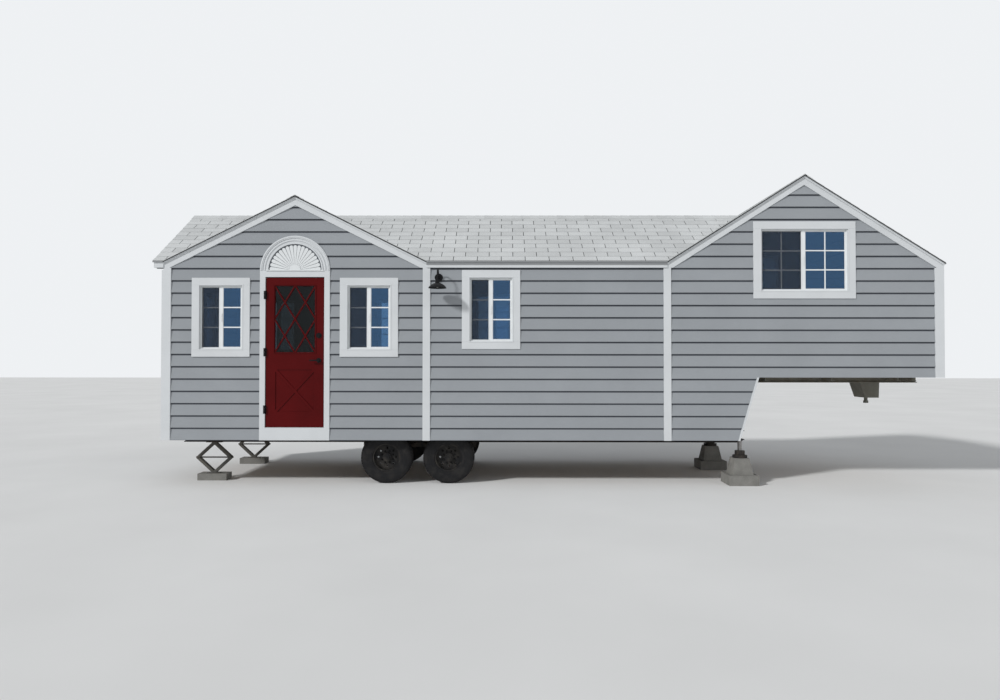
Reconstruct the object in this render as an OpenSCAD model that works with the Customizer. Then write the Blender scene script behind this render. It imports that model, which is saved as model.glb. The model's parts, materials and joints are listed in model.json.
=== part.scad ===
// Tiny house on a gooseneck trailer: three wall sections under crossing gable roofs,
// on a steel chassis with two axles, scissor jacks at the rear and piers in front.
// Lengths are in mm. Inside the modules x runs from the rear end wall to the nose,
// y from the front (-) to the back (+), and z up from the ground.

/* [Body] */
// Length of the entry section, from the rear end wall
entry_len = 3550; // [3400:10:4200]
// Length of the middle section
middle_len = 3240; // [2600:10:4200]
// Length of the loft section
loft_len = 3685; // [3500:10:4200]
// Width over the outer faces of the walls
body_w = 2500; // [2300:10:2700]
// Thickness of the walls
wall_t = 100; // [80:5:140]
// Underside of the walls above the ground
skirt_z = 600; // [560:5:640]
// Top of the floor deck above the ground
floor_z = 770; // [760:5:800]
// Thickness of the floor decks
deck_t = 40; // [25:1:50]
// Length of the raised floor over the gooseneck
gooseneck_len = 2458; // [2200:10:2600]
// Underside of the raised walls above the ground
raised_z = 1450; // [1400:10:1550]
// Lean of the slanted kick wall from upright, in degrees
kick_lean = 16.8; // [8:0.2:22]

/* [Roof] */
// Top of the roof skin at the eaves above the ground
eave_z = 3010; // [2980:5:3100]
// Pitch of the main roof in degrees
main_pitch = 33.7; // [30:0.1:36]
// Height of the entry gable's ridge above the main ridge
entry_ridge_up = 18; // [5:1:60]
// Pitch of the loft gable in degrees
loft_pitch = 32.3; // [30:0.1:36]
// Thickness of the whole roof, square to its slope
roof_t = 110; // [90:5:140]
// Thickness of the covering that projects at the edges
skin_t = 14; // [10:1:30]
// Reach of the roof beyond the long walls
roof_over = 50; // [44:1:80]
// Reach of the roof beyond the rear end wall
rake_over = 140; // [100:5:200]
// Reach of the covering past the boards under it
drip = 14; // [8:1:20]
// Width of the ridge caps on each side of the ridge
cap_w = 125; // [100:5:150]
// Thickness of the ridge caps
ridge_cap_t = 12; // [8:1:16]

/* [Trim] */
// Width of the corner and junction boards
board_w = 100; // [80:1:120]
// Thickness of the trim boards
board_t = 24; // [18:1:26]
// Width of the slanted rake boards
rake_h = 98; // [90:1:130]
// Height of the narrow strip on the rake boards
strip_h = 20; // [12:1:40]
// Height of the eave fascias
fascia_h = 78; // [60:1:95]
// Width of the edge board on the slanted wall
edge_w = 26; // [20:1:40]

/* [Windows] */
// Width of the common window
window_w = 590; // [500:10:700]
// Height of the common window
window_h = 870; // [760:10:960]
// Width of the loft window
loft_window_w = 1176; // [900:10:1300]
// Height of the loft window
loft_window_h = 844; // [700:10:900]
// Distance of the entry windows from the door's middle
entry_window_dx = 1000; // [940:10:1040]
// Height of the entry windows' middle
entry_window_z = 2255; // [2200:5:2300]
// Distance of the middle window from the entry section
middle_window_dx = 870; // [600:10:1600]
// Height of the middle window's middle
middle_window_z = 2361; // [2250:5:2400]
// Height of the loft window's middle
loft_window_z = 3030; // [2960:5:3080]
// Width of the flat casing round each window
casing_w = 98; // [80:1:110]
// Width of the window frame's members
frame_w = 16; // [12:1:24]
// Width of the sash members
sash_w = 16; // [12:1:24]
// Width of the stiles where two sashes meet
meet_w = 40; // [30:1:50]
// Depth of the window frame
frame_t = 70; // [64:1:78]
// Thickness of the sashes
sash_t = 24; // [20:1:26]
// Thickness of the glass
glass_t = 8; // [5:1:12]
// How far the window frame stands out of the wall
frame_proud = 10; // [4:1:16]

/* [Door] */
// Width of the door leaf
door_w = 780; // [720:5:820]
// Height of the door leaf
door_h = 2013; // [1980:1:2040]
// Thickness of the door leaf
leaf_t = 45; // [38:1:50]
// Gap between the leaf and its frame
door_gap = 8; // [7:0.5:10]
// How far the leaf's face stands out of the wall
leaf_proud = 12; // [8:1:16]
// Thickness of the door frame's members
jamb_t = 30; // [25:1:38]
// Depth of the stops behind the leaf
stop_t = 14; // [10:1:20]
// Width of the casing beside the door
door_casing_w = 74; // [60:1:90]
// Height of the head board over the door
head_h = 86; // [70:1:100]
// Width of the moulded arch's ring
arch_w = 112; // [90:1:130]
// Number of rays in the sunburst
ray_count = 19; // [13:2:25]
// Radius of the sunburst's hub
sun_r = 78; // [60:1:100]
// Width of the pane in the door
pane_w = 554; // [500:2:580]
// Distance of the pane's upper edge from the leaf's upper edge
pane_down = 105; // [90:1:130]
// Height of the pane's lower edge above the leaf's lower edge
pane_up = 999; // [980:1:1030]
// Width of the lattice bars
lattice_w = 17; // [12:1:24]
// Height of the lower panel
panel_h = 603; // [500:1:640]
// Height of the lower panel's edge above the leaf's lower edge
panel_up = 186; // [150:1:230]
// Depth of the lower panel's recess
panel_sink = 9; // [5:1:14]
// Width of the crossed bars in the lower panel
cross_w = 34; // [24:1:44]
// Height of the lever above the leaf's lower edge
lever_up = 897; // [860:1:930]
// Height of the lock above the leaf's lower edge
lock_up = 1232; // [1180:1:1290]
// Distance of the lever from the leaf's free edge
backset = 65; // [55:1:75]
// Length of the lever's handle
lever_len = 105; // [90:1:125]

/* [Lamp] */
// Distance of the lamp from the entry section
lamp_dx = 165; // [130:5:260]
// Height of the lamp's wall plate
lamp_z = 2790; // [2720:5:2820]
// Radius of the lamp shade's rim
shade_r = 122; // [90:1:140]
// Height of the lamp shade
shade_h = 92; // [70:1:120]
// Distance of the shade's middle from the wall
lamp_reach = 215; // [200:5:260]
// Thickness of the shade's metal
shade_t = 3; // [2:0.5:4]

/* [Undercarriage] */
// Diameter of the tyres
tyre_d = 700; // [660:5:710]
// Width of the tyres
tyre_w = 215; // [190:1:220]
// Diameter of the rims at the bead
rim_d = 356; // [330:1:382]
// Distance of the first axle from the rear end wall
axle_x = 2991; // [2500:5:3400]
// Distance between the axles
axle_gap = 849; // [800:1:900]
// Gap between the tyres and the walls
tyre_gap = 20; // [10:1:40]
// Distance between the middles of the chassis rails
rail_gap = 1600; // [1500:10:1640]
// Width of the chassis rails' flanges
rail_w = 80; // [60:1:90]
// Height of the lower chassis rails
rail_h = 200; // [160:5:220]
// Height of the raised chassis rails
raised_rail_h = 130; // [100:5:150]
// Depth of the slanted part of the rails
riser_d = 120; // [90:5:140]
// Thickness of the rails' steel
steel_t = 10; // [6:1:14]
// Height of the cross-members
cross_h = 100; // [70:5:120]
// Width of the pin box
pin_box_w = 340; // [280:5:400]
// Height of the pin box under the raised rails
pin_box_h = 275; // [220:5:320]
// Distance of the king pin from the nose
pin_back = 395; // [340:5:480]
// Radius of the king pin's collar
collar_r = 35.7; // [30:0.1:40]
// Radius of the king pin's neck
neck_r = 25.4; // [20:0.1:28]
// Radius of the axle tubes
axle_r = 38; // [32:1:42]
// Radius of the spindles
spindle_r = 22; // [18:1:26]
// Distance between the eyes of a leaf spring
spring_len = 660; // [600:5:700]
// Distance of the rear jacks from the rear end wall
rear_jack_x = 520; // [400:10:900]
// Width over the open scissor jack
rear_jack_w = 500; // [420:10:560]
// Distance of the piers from the nose
pier_back = 2665; // [2600:5:2700]
// Distance of the inner pier behind the middle
pier_mid_y = 305; // [0:5:900]

/* [Hidden] */
$fn = 96;

// Colours
siding_grey = [0.42, 0.44, 0.46];
trim_white = [0.86, 0.86, 0.84];
roof_grey = [0.62, 0.63, 0.64];
door_red = [0.36, 0.05, 0.06];
steel_black = [0.06, 0.06, 0.065];
concrete = [0.52, 0.51, 0.48];

// Lengths along the house
half_w = body_w / 2;
in_w = half_w - wall_t;
middle_x = entry_len;
loft_x = middle_x + middle_len;
total_len = loft_x + loft_len;
entry_mid = entry_len / 2;
loft_mid = loft_x + loft_len / 2;
kick_top_x = total_len - gooseneck_len;

over_y = half_w + roof_over;
entry_pitch = atan((over_y * tan(main_pitch) + entry_ridge_up) / (entry_len / 2));

// The slanted wall leans by the same angle at every height
function kick_x(z) = kick_top_x + (z - raised_z) * tan(kick_lean);
kick_run = wall_t / cos(kick_lean);

// Height of a roof plane, lowered by drop square to its slope
function main_z(y, drop) =
    eave_z + (over_y - abs(y)) * tan(main_pitch) - drop / cos(main_pitch);
function entry_z(x, drop) =
    eave_z + (entry_len / 2 - abs(x - entry_mid)) * tan(entry_pitch) - drop / cos(entry_pitch);
function loft_z(x, drop) =
    eave_z + (loft_len / 2 - abs(x - loft_mid)) * tan(loft_pitch) - drop / cos(loft_pitch);

fascia_out = over_y - drip;
fascia_in = fascia_out - board_t;
fascia_low = main_z(fascia_out, skin_t) - fascia_h;
rake_out = rake_over - drip;
rake_in = rake_out - board_t;
end_board_top = main_z(half_w + board_t, roof_t);
nose_reach = board_t + drip;
strip_t = roof_over - board_t - drip;

// Heights of the floors and the steel under them
deck_low = floor_z - deck_t;
rail_low = deck_low - rail_h;
raised_sill = 50;
raised_deck_low = raised_z + raised_sill;
raised_rail_low = raised_deck_low - raised_rail_h;
raised_floor_z = raised_deck_low + deck_t;

// The doorway
door_bottom = floor_z + door_gap;
door_top = door_bottom + door_h;
opening_half = door_w / 2 + door_gap;
frame_half = opening_half + jamb_t;
surround_half = opening_half + door_casing_w;
opening_top = door_top + door_gap;
head_top = opening_top + head_h;
leaf_out = half_w + leaf_proud;
leaf_in = leaf_out - leaf_t;
fan_r = surround_half - arch_w;
stop_clear = 5;
stop_lap = 12;
fan_t = 8;
ray_t = 17;
sun_t = 22;
ray_inset = 14;
ray_root = 5;

// The leaf: its pane, the bead round it and how deep glass and lattice sit
pane_h = door_h - pane_up - pane_down;
bead_w = 10;
bead_t = 6;
glass_set = 18;
lattice_set = 4;
lever_x = entry_mid + door_w / 2 - backset;

// The hinges: the pin stands clear of the casing's face
pin_r = 4;
pin_clear = 0.08;
barrel_r = 8;
barrel_gap = 0.5;
barrel_play = 1;
hinge_h = 110;
hinge_w = 10;
hinge_inset = 235;
hinge_lap = 14;
plate_t = 3;
pin_x = entry_mid - door_w / 2 - door_gap / 2;
pin_y = -(half_w + board_t + barrel_r + barrel_play);
hinge_zs = [door_bottom + hinge_inset, door_bottom + door_h / 2, door_top - hinge_inset];

// Furniture of the door
rose_r = 32;
rose_t = 10;
lock_t = 8;
thumb_w = 8;
thumb_h = 36;
spindle_hole_r = 12;
lever_spindle_r = 9;
lever_clear = 0.1;
lever_out = 55;
handle_w = 18;
handle_t = 13;

// The lamp
lamp_x = middle_x + lamp_dx;
arm_r = 9;
plate_r = 55;

// Wheels and axles
wheel_z = tyre_d / 2;
wheel_y = in_w - tyre_gap - tyre_w / 2;
axle_xs = [axle_x, axle_x + axle_gap];
hub_r = 55;
hub_half = 52;
hub_clear = 0.1;
cap_t = 8;
bead_r = 12;
rim_t = 6;
rail_y = rail_gap / 2;
eye_r = 20;
leaf_count = 4;
spring_leaf_t = 9;
spring_w = 60;
spring_rise = 100;
eye_z = wheel_z + axle_r + spring_rise;
header_w = 90;
pier_x = total_len - pier_back;
pier_inset = 60;
pier_y = in_w - pier_inset;
pier_ys = [-pier_y, pier_mid_y];
pin_x_nose = total_len - pin_back;

// The box round everything has its bottom centre at the origin
mid_x = (total_len + nose_reach - rake_over) / 2;
mid_y = (over_y - (half_w + lamp_reach + shade_r)) / 2;

// Boards and caps keep a hair's breadth off the slanted faces of the roof
hair = 0.02;
board_drop = skin_t + hair;

// Cuts reach past what they cut
eps = 1;
tall = total_len;

module placed() translate([-mid_x, -mid_y, 0]) children();

// A shape drawn in x and z, made solid from y0 to y1
module upright(y0, y1) translate([0, y1, 0]) rotate([90, 0, 0]) linear_extrude(y1 - y0) children();

// A shape drawn in y and z, made solid from x0 to x1
module along_x(x0, x1) translate([x0, 0, 0]) rotate([90, 0, 90]) linear_extrude(x1 - x0) children();

module box(x0, x1, y0, y1, z0, z1) translate([x0, y0, z0]) cube([x1 - x0, y1 - y0, z1 - z0]);

// A copy on the other long side
module both_sides() {
    children();
    mirror([0, 1, 0]) children();
}

// Everything under the main roof's planes
module under_main(x0, x1, reach, drop, low = skirt_z) along_x(x0, x1) polygon([
    [-reach, low],
    [reach, low],
    [reach, main_z(reach, drop)],
    [0, main_z(0, drop)],
    [-reach, main_z(reach, drop)]
]);

// Everything under the entry gable's planes
module under_entry(reach, drop, low = skirt_z) upright(-reach, reach) polygon([
    [0, low],
    [entry_len, low],
    [entry_len, entry_z(entry_len, drop)],
    [entry_mid, entry_z(entry_mid, drop)],
    [0, entry_z(0, drop)]
]);

// Everything under the loft gable's planes, out to x1 at the nose
module under_loft(x1, reach, drop, low = skirt_z) upright(-reach, reach) polygon([
    [loft_x, low],
    [x1, low],
    [x1, loft_z(x1, drop)],
    [loft_mid, loft_z(loft_mid, drop)],
    [loft_x, loft_z(loft_x, drop)]
]);

// The space that the roofs close from above
module under_roofs() {
    under_main(-eps, loft_mid, half_w + eps, roof_t, 0);
    under_entry(half_w + eps, roof_t, 0);
    under_loft(total_len + eps, half_w + eps, roof_t, 0);
}

// One layer of a roof between two depths below its surface
module main_layer(x0, reach, top, bottom) difference() {
    under_main(x0, loft_mid, reach, top);
    under_main(x0 - eps, loft_mid + eps, reach + eps, bottom, 0);
}

module entry_layer(reach, top, bottom) difference() {
    under_entry(reach, top);
    under_entry(reach + eps, bottom, 0);
}

module loft_layer(x1, reach, top, bottom) difference() {
    under_loft(x1, reach, top);
    under_loft(x1 + eps, reach + eps, bottom, 0);
}

module main_shell() difference() {
    union() {
        main_layer(-rake_over, over_y, 0, skin_t);
        main_layer(-rake_in, fascia_in, skin_t, roof_t);
    }
    under_entry(over_y + eps, roof_t, 0);
    under_loft(total_len, over_y + eps, roof_t, 0);
    both_sides() box(0, middle_x, half_w, tall, 0, tall);
    both_sides() box(loft_x, total_len, half_w, tall, 0, tall);
    both_sides() box(-tall, total_len, half_w, tall, 0, fascia_low);
}

module main_roof_front() color(roof_grey) placed() intersection() {
    main_shell();
    box(-tall, 2 * total_len, -tall, 0, 0, tall);
}

module main_roof_back() color(roof_grey) placed() intersection() {
    main_shell();
    box(-tall, 2 * total_len, 0, tall, 0, tall);
}

module entry_roof() color(roof_grey) placed() difference() {
    union() {
        entry_layer(over_y, 0, skin_t);
        entry_layer(half_w, skin_t, roof_t);
    }
    under_main(-rake_over, loft_mid, half_w, 0, 0);
}

module loft_shell() difference() {
    union() {
        loft_layer(total_len + nose_reach, over_y, 0, skin_t);
        loft_layer(total_len, half_w, skin_t, roof_t);
    }
    under_main(-rake_over, loft_mid, half_w, 0, 0);
}

module loft_roof_rear_slope() color(roof_grey) placed() intersection() {
    loft_shell();
    box(0, loft_mid, -tall, tall, 0, tall);
}

module loft_roof_nose_slope() color(roof_grey) placed() intersection() {
    loft_shell();
    box(loft_mid, 2 * total_len, -tall, tall, 0, tall);
}

// A stretch of long wall, from z0 up to the roof
module wall_strip(x0, x1, z0) intersection() {
    box(x0, x1, -half_w, -in_w, z0, tall);
    under_roofs();
}

module window_hole(x, z, w, h) box(x - w / 2, x + w / 2, -half_w - eps, -in_w + eps, z - h / 2, z + h / 2);

module entry_holes() for (side = [-1, 1])
    window_hole(entry_mid + side * entry_window_dx, entry_window_z, window_w, window_h);

module middle_hole() window_hole(middle_x + middle_window_dx, middle_window_z, window_w, window_h);

module loft_hole() window_hole(loft_mid, loft_window_z, loft_window_w, loft_window_h);

// The long wall of the loft section, cut away under the gooseneck
module loft_side() difference() {
    wall_strip(loft_x, total_len, skirt_z);
    upright(-half_w - eps, -in_w + eps) polygon([
        [kick_x(0), 0],
        [total_len + eps, 0],
        [total_len + eps, raised_z],
        [kick_top_x, raised_z]
    ]);
    loft_hole();
}

module front_wall_left() color(siding_grey) placed() difference() {
    wall_strip(0, entry_mid - frame_half, skirt_z);
    entry_holes();
}

module front_wall_over_door() color(siding_grey) placed()
    wall_strip(entry_mid - frame_half, entry_mid + frame_half, opening_top + jamb_t);

module front_wall_under_door() color(siding_grey) placed()
    box(entry_mid - frame_half, entry_mid + frame_half, -half_w, -in_w, skirt_z, deck_low);

module front_wall_right() color(siding_grey) placed() difference() {
    wall_strip(entry_mid + frame_half, middle_x, skirt_z);
    entry_holes();
}

module middle_side() difference() {
    wall_strip(middle_x, loft_x, skirt_z);
    middle_hole();
}

module front_wall_middle() color(siding_grey) placed() middle_side();

module front_wall_loft() color(siding_grey) placed() loft_side();

module back_wall_entry() color(siding_grey) placed() mirror([0, 1, 0]) difference() {
    wall_strip(0, middle_x, skirt_z);
    entry_holes();
}

module back_wall_middle() color(siding_grey) placed() mirror([0, 1, 0]) middle_side();

module back_wall_loft() color(siding_grey) placed() mirror([0, 1, 0]) loft_side();

module rear_end_wall() color(siding_grey) placed() difference() {
    intersection() {
        box(0, wall_t, -in_w, in_w, skirt_z, tall);
        under_roofs();
    }
    box(-eps, wall_t + eps, -window_w / 2, window_w / 2,
        entry_window_z - window_h / 2, entry_window_z + window_h / 2);
}

module nose_wall() color(siding_grey) placed() intersection() {
    box(total_len - wall_t, total_len, -in_w, in_w, raised_z, tall);
    under_roofs();
}

module kick_wall() color(siding_grey) placed() upright(-in_w, in_w) polygon([
    [kick_x(deck_low) - kick_run, deck_low],
    [kick_x(deck_low), deck_low],
    [kick_x(raised_deck_low), raised_deck_low],
    [kick_x(raised_deck_low) - kick_run, raised_deck_low]
]);

module floor_deck() color("BurlyWood") placed()
    box(wall_t, kick_x(deck_low) - kick_run, -in_w, in_w, deck_low, floor_z);

module loft_deck() color("BurlyWood") placed() box(kick_x(raised_deck_low) - kick_run,
    total_len - wall_t, -in_w, in_w, raised_deck_low, raised_floor_z);

// The caps over the three ridges
module ridge_caps() color(roof_grey) placed() {
    difference() {
        intersection() {
            main_layer(-rake_over, over_y, -ridge_cap_t, -hair);
            box(-tall, tall, -cap_w * cos(main_pitch), cap_w * cos(main_pitch), 0, tall);
        }
        under_entry(over_y, -hair, 0);
        under_loft(total_len, over_y, -hair, 0);
    }
    difference() {
        intersection() {
            entry_layer(over_y, -ridge_cap_t, -hair);
            box(entry_mid - cap_w * cos(entry_pitch), entry_mid + cap_w * cos(entry_pitch),
                -tall, tall, 0, tall);
        }
        under_main(-rake_over, loft_mid, over_y, -hair, 0);
    }
    intersection() {
        loft_layer(total_len, over_y, -ridge_cap_t, -hair);
        box(loft_mid - cap_w * cos(loft_pitch), loft_mid + cap_w * cos(loft_pitch),
            -tall, tall, 0, tall);
    }
}

// Trim

// The shape between a gable's skin and a line drop below it, cut level at the fascias
module entry_band(drop) difference() {
    polygon([
        [0, fascia_low],
        [entry_len, fascia_low],
        [entry_len, entry_z(entry_len, board_drop)],
        [entry_mid, entry_z(entry_mid, board_drop)],
        [0, entry_z(0, board_drop)]
    ]);
    polygon([
        [-eps, 0],
        [entry_len + eps, 0],
        [entry_len + eps, entry_z(entry_len + eps, skin_t + drop)],
        [entry_mid, entry_z(entry_mid, skin_t + drop)],
        [-eps, entry_z(-eps, skin_t + drop)]
    ]);
}

module loft_band(drop) difference() {
    polygon([
        [loft_x, fascia_low],
        [total_len + board_t, fascia_low],
        [total_len + board_t, loft_z(total_len + board_t, board_drop)],
        [loft_mid, loft_z(loft_mid, board_drop)],
        [loft_x, loft_z(loft_x, board_drop)]
    ]);
    polygon([
        [loft_x - eps, 0],
        [total_len + board_t + eps, 0],
        [total_len + board_t + eps, loft_z(total_len + board_t + eps, skin_t + drop)],
        [loft_mid, loft_z(loft_mid, skin_t + drop)],
        [loft_x - eps, loft_z(loft_x - eps, skin_t + drop)]
    ]);
}

module main_band(drop) difference() {
    polygon([
        [-fascia_out, fascia_low],
        [fascia_out, fascia_low],
        [fascia_out, main_z(fascia_out, board_drop)],
        [0, main_z(0, board_drop)],
        [-fascia_out, main_z(fascia_out, board_drop)]
    ]);
    polygon([
        [-over_y, 0],
        [over_y, 0],
        [over_y, main_z(over_y, skin_t + drop)],
        [0, main_z(0, skin_t + drop)],
        [-over_y, main_z(over_y, skin_t + drop)]
    ]);
}

module rake_boards() color(trim_white) placed() {
    both_sides() {
        upright(-half_w - board_t, -half_w) entry_band(rake_h);
        upright(-half_w - board_t - strip_t, -half_w - board_t) entry_band(strip_h);
        upright(-half_w - board_t, -half_w) loft_band(rake_h);
        upright(-half_w - board_t - strip_t, -half_w - board_t) loft_band(strip_h);
    }
    along_x(-rake_out, -rake_in) main_band(rake_h);
}

module eave_fascia(x0, x1) along_x(x0, x1) polygon([
    [-fascia_out, fascia_low],
    [-fascia_in, fascia_low],
    [-fascia_in, main_z(fascia_in, board_drop)],
    [-fascia_out, main_z(fascia_out, board_drop)]
]);

module eave_fascias() color(trim_white) placed() {
    both_sides() {
        eave_fascia(middle_x, loft_x);
        eave_fascia(-rake_in, 0);
    }
    upright(-half_w, half_w) polygon([
        [total_len, fascia_low],
        [total_len + board_t, fascia_low],
        [total_len + board_t, loft_z(total_len + board_t, board_drop)],
        [total_len, loft_z(total_len, board_drop)]
    ]);
}

module corner_boards() color(trim_white) placed() both_sides() {
    box(0, board_w, -half_w - board_t, -half_w, skirt_z, fascia_low);
    box(-board_t, 0, -half_w - board_t, -half_w - board_t + board_w, skirt_z, end_board_top);
    for (x = [middle_x, loft_x])
        box(x - board_w / 2, x + board_w / 2, -half_w - board_t, -half_w, skirt_z, fascia_low);
    box(total_len - board_w, total_len, -half_w - board_t, -half_w, raised_z, fascia_low);
    box(total_len, total_len + board_t, -half_w - board_t, -half_w - board_t + board_w,
        raised_z, fascia_low);
    upright(-half_w - board_t, -half_w) polygon([
        [kick_x(skirt_z) - edge_w, skirt_z],
        [kick_x(skirt_z), skirt_z],
        [kick_top_x, raised_z],
        [kick_top_x - edge_w, raised_z]
    ]);
}

// Windows, drawn round their own middle with the outside towards -y

module ring(w, h, side, y0, y1) difference() {
    box(-w / 2, w / 2, y0, y1, -h / 2, h / 2);
    box(-w / 2 + side, w / 2 - side, y0 - eps, y1 + eps, -h / 2 + side, h / 2 - side);
}

// Each sash reaches from the frame over the whole meeting stile
function sash_width(w) = w / 2 - frame_w + meet_w / 2;
function sash_x(w) = (w / 2 - frame_w) - sash_width(w) / 2;
sash_set = 8;
sash_space = 4;
function sash_y(side) = sash_set + (side > 0 ? 0 : sash_t + sash_space);

module sash_opening(w, h, side, y0, y1) {
    meeting = side * (meet_w - sash_width(w) / 2);
    outer = side * (sash_width(w) / 2 - sash_w);
    box(min(meeting, outer), max(meeting, outer), y0, y1,
        sash_w + frame_w - h / 2, h / 2 - frame_w - sash_w);
}

module window_frame(w, h) {
    ring(w, h, frame_w, -frame_proud, frame_t - frame_proud);
    for (side = [-1, 1])
        translate([side * sash_x(w), sash_y(side), 0]) difference() {
            box(-sash_width(w) / 2, sash_width(w) / 2, 0, sash_t, frame_w - h / 2, h / 2 - frame_w);
            sash_opening(w, h, side, -eps, sash_t + eps);
        }
}

module window_pane(w, h) for (side = [-1, 1])
    translate([side * sash_x(w), sash_y(side) + sash_t / 2, 0])
        sash_opening(w, h, side, -glass_t / 2, glass_t / 2);

module window_casing(w, h) ring(w + 2 * casing_w, h + 2 * casing_w, casing_w, -board_t, 0);

module window_part(piece, w, h) {
    if (piece == "frame") window_frame(w, h);
    if (piece == "casing") window_casing(w, h);
    if (piece == "glass") window_pane(w, h);
}

// The same piece of every window, each in its place
module at_windows(piece) {
    for (turn = [0, 180], side = [-1, 1])
        translate([entry_mid + side * entry_window_dx, turn == 0 ? -half_w : half_w, entry_window_z])
            rotate([0, 0, turn]) window_part(piece, window_w, window_h);
    for (turn = [0, 180]) {
        translate([middle_x + middle_window_dx, turn == 0 ? -half_w : half_w, middle_window_z])
            rotate([0, 0, turn]) window_part(piece, window_w, window_h);
        translate([loft_mid, turn == 0 ? -half_w : half_w, loft_window_z])
            rotate([0, 0, turn]) window_part(piece, loft_window_w, loft_window_h);
    }
    translate([0, 0, entry_window_z]) rotate([0, 0, -90]) window_part(piece, window_w, window_h);
}

module window_frames() color("white") placed() at_windows("frame");

module window_casings() color(trim_white) placed() at_windows("casing");

module window_glass() color([0.35, 0.42, 0.46, 0.6]) placed() at_windows("glass");

// The doorway

module door_frame() color(trim_white) placed() {
    stop_y = leaf_in - stop_clear;
    stop_half = door_w / 2 - stop_lap;
    difference() {
        box(entry_mid - frame_half, entry_mid + frame_half, -half_w, -in_w,
            deck_low, opening_top + jamb_t);
        box(entry_mid - opening_half, entry_mid + opening_half, -half_w - eps, -in_w + eps,
            floor_z, opening_top);
    }
    difference() {
        box(entry_mid - opening_half, entry_mid + opening_half, -stop_y, -stop_y + stop_t,
            floor_z, opening_top);
        box(entry_mid - stop_half, entry_mid + stop_half, -stop_y - eps,
            -stop_y + stop_t + eps, floor_z - eps, door_top - stop_lap);
    }
}

// The moulding of the arch, drawn as radius and height above the wall
module arch_profile() {
    flat_t = board_t * 0.75;
    edge_t = board_t * 1.1;
    translate([fan_r, 0]) square([arch_w, flat_t]);
    translate([fan_r, 0]) square([arch_w * 0.16, board_t * 1.15]);
    translate([fan_r + arch_w * 0.45, flat_t]) circle(r = arch_w * 0.09);
    translate([surround_half - arch_w * 0.3, 0]) square([arch_w * 0.3, edge_t]);
    translate([surround_half - arch_w * 0.15, edge_t]) circle(r = arch_w * 0.05);
}

module door_surround() color(trim_white) placed() {
    for (side = [-1, 1])
        translate([entry_mid + side * (opening_half + door_casing_w / 2), 0, 0])
            box(-door_casing_w / 2, door_casing_w / 2, -half_w - board_t, -half_w,
                floor_z, opening_top);
    box(entry_mid - surround_half, entry_mid + surround_half, -half_w - board_t, -half_w,
        skirt_z, floor_z);
    box(entry_mid - surround_half, entry_mid + surround_half, -half_w - board_t, -half_w,
        opening_top, head_top);
    translate([entry_mid, -half_w, head_top]) rotate([90, 0, 0])
        rotate_extrude(angle = 180) arch_profile();
}

// A ray of the sunburst: it widens outwards and ends round
module ray() {
    tip_r = (fan_r - ray_inset) * tan(90 / ray_count) * 0.82;
    tip_x = fan_r - ray_inset - tip_r;
    root_x = sun_r - ray_root;
    polygon([[root_x, -ray_root], [tip_x, -tip_r], [tip_x, tip_r], [root_x, ray_root]]);
    translate([tip_x, 0]) circle(r = tip_r, $fn = 24);
}

module fan_light() color("white") placed() translate([entry_mid, -half_w, head_top])
    rotate([90, 0, 0]) {
        intersection() {
            cylinder(r = fan_r, h = fan_t);
            box(-fan_r, fan_r, 0, fan_r, 0, tall);
        }
        for (i = [0 : ray_count - 1])
            rotate([0, 0, (i + 0.5) * 180 / ray_count]) linear_extrude(ray_t) ray();
        intersection() {
            cylinder(r = sun_r, h = sun_t);
            box(-sun_r, sun_r, 0, sun_r, 0, tall);
        }
    }

// The door

module hinge_barrel(x, y, z0, h, bore) translate([x, y, z0]) difference() {
    cylinder(r = barrel_r, h = h);
    if (bore > 0) translate([0, 0, -eps]) cylinder(r = bore, h = h + 2 * eps);
}

// The knuckles: the leaf's in the middle, the frame's above and below it
knuckle_h = (hinge_h - 2 * barrel_gap) / 3;

module frame_hinges() color(steel_black) placed() for (z = hinge_zs) {
    low = z - hinge_h / 2;
    casing_y = -half_w - board_t;
    for (z0 = [low, low + hinge_h - knuckle_h]) {
        hinge_barrel(pin_x, pin_y, z0, knuckle_h, 0);
        box(pin_x - hinge_lap, pin_x, casing_y - plate_t, casing_y, z0, z0 + knuckle_h);
    }
    box(pin_x - hinge_lap - hinge_w, pin_x - hinge_lap + eps, casing_y - plate_t, casing_y,
        low, low + hinge_h);
    translate([pin_x, pin_y, low]) cylinder(r = pin_r, h = hinge_h);
}

module door_hinges() color(steel_black) placed() for (z = hinge_zs) {
    low = z - hinge_h / 2;
    leaf_x = entry_mid - door_w / 2;
    mid_low = low + knuckle_h + barrel_gap;
    difference() {
        union() {
            hinge_barrel(pin_x, pin_y, mid_low, knuckle_h, 0);
            box(leaf_x, leaf_x + plate_t, pin_y, -leaf_out, mid_low, mid_low + knuckle_h);
        }
        translate([pin_x, pin_y, low]) cylinder(r = pin_r + pin_clear, h = hinge_h);
    }
    box(leaf_x, leaf_x + hinge_w, -leaf_out - plate_t, -leaf_out, low, low + hinge_h);
}

module pane_place() translate([entry_mid - pane_w / 2, door_bottom + pane_up]) children();
module panel_place() translate([entry_mid - pane_w / 2, door_bottom + panel_up]) children();

// A flat bar between two points
module bar(a, b, w) {
    run = b - a;
    translate(a) rotate([0, 0, atan2(run[1], run[0])])
        translate([-w, -w / 2]) square([norm(run) + 2 * w, w]);
}

module bead(w, h, side) difference() {
    square([w, h]);
    translate([side, side]) square([w - 2 * side, h - 2 * side]);
}

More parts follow.
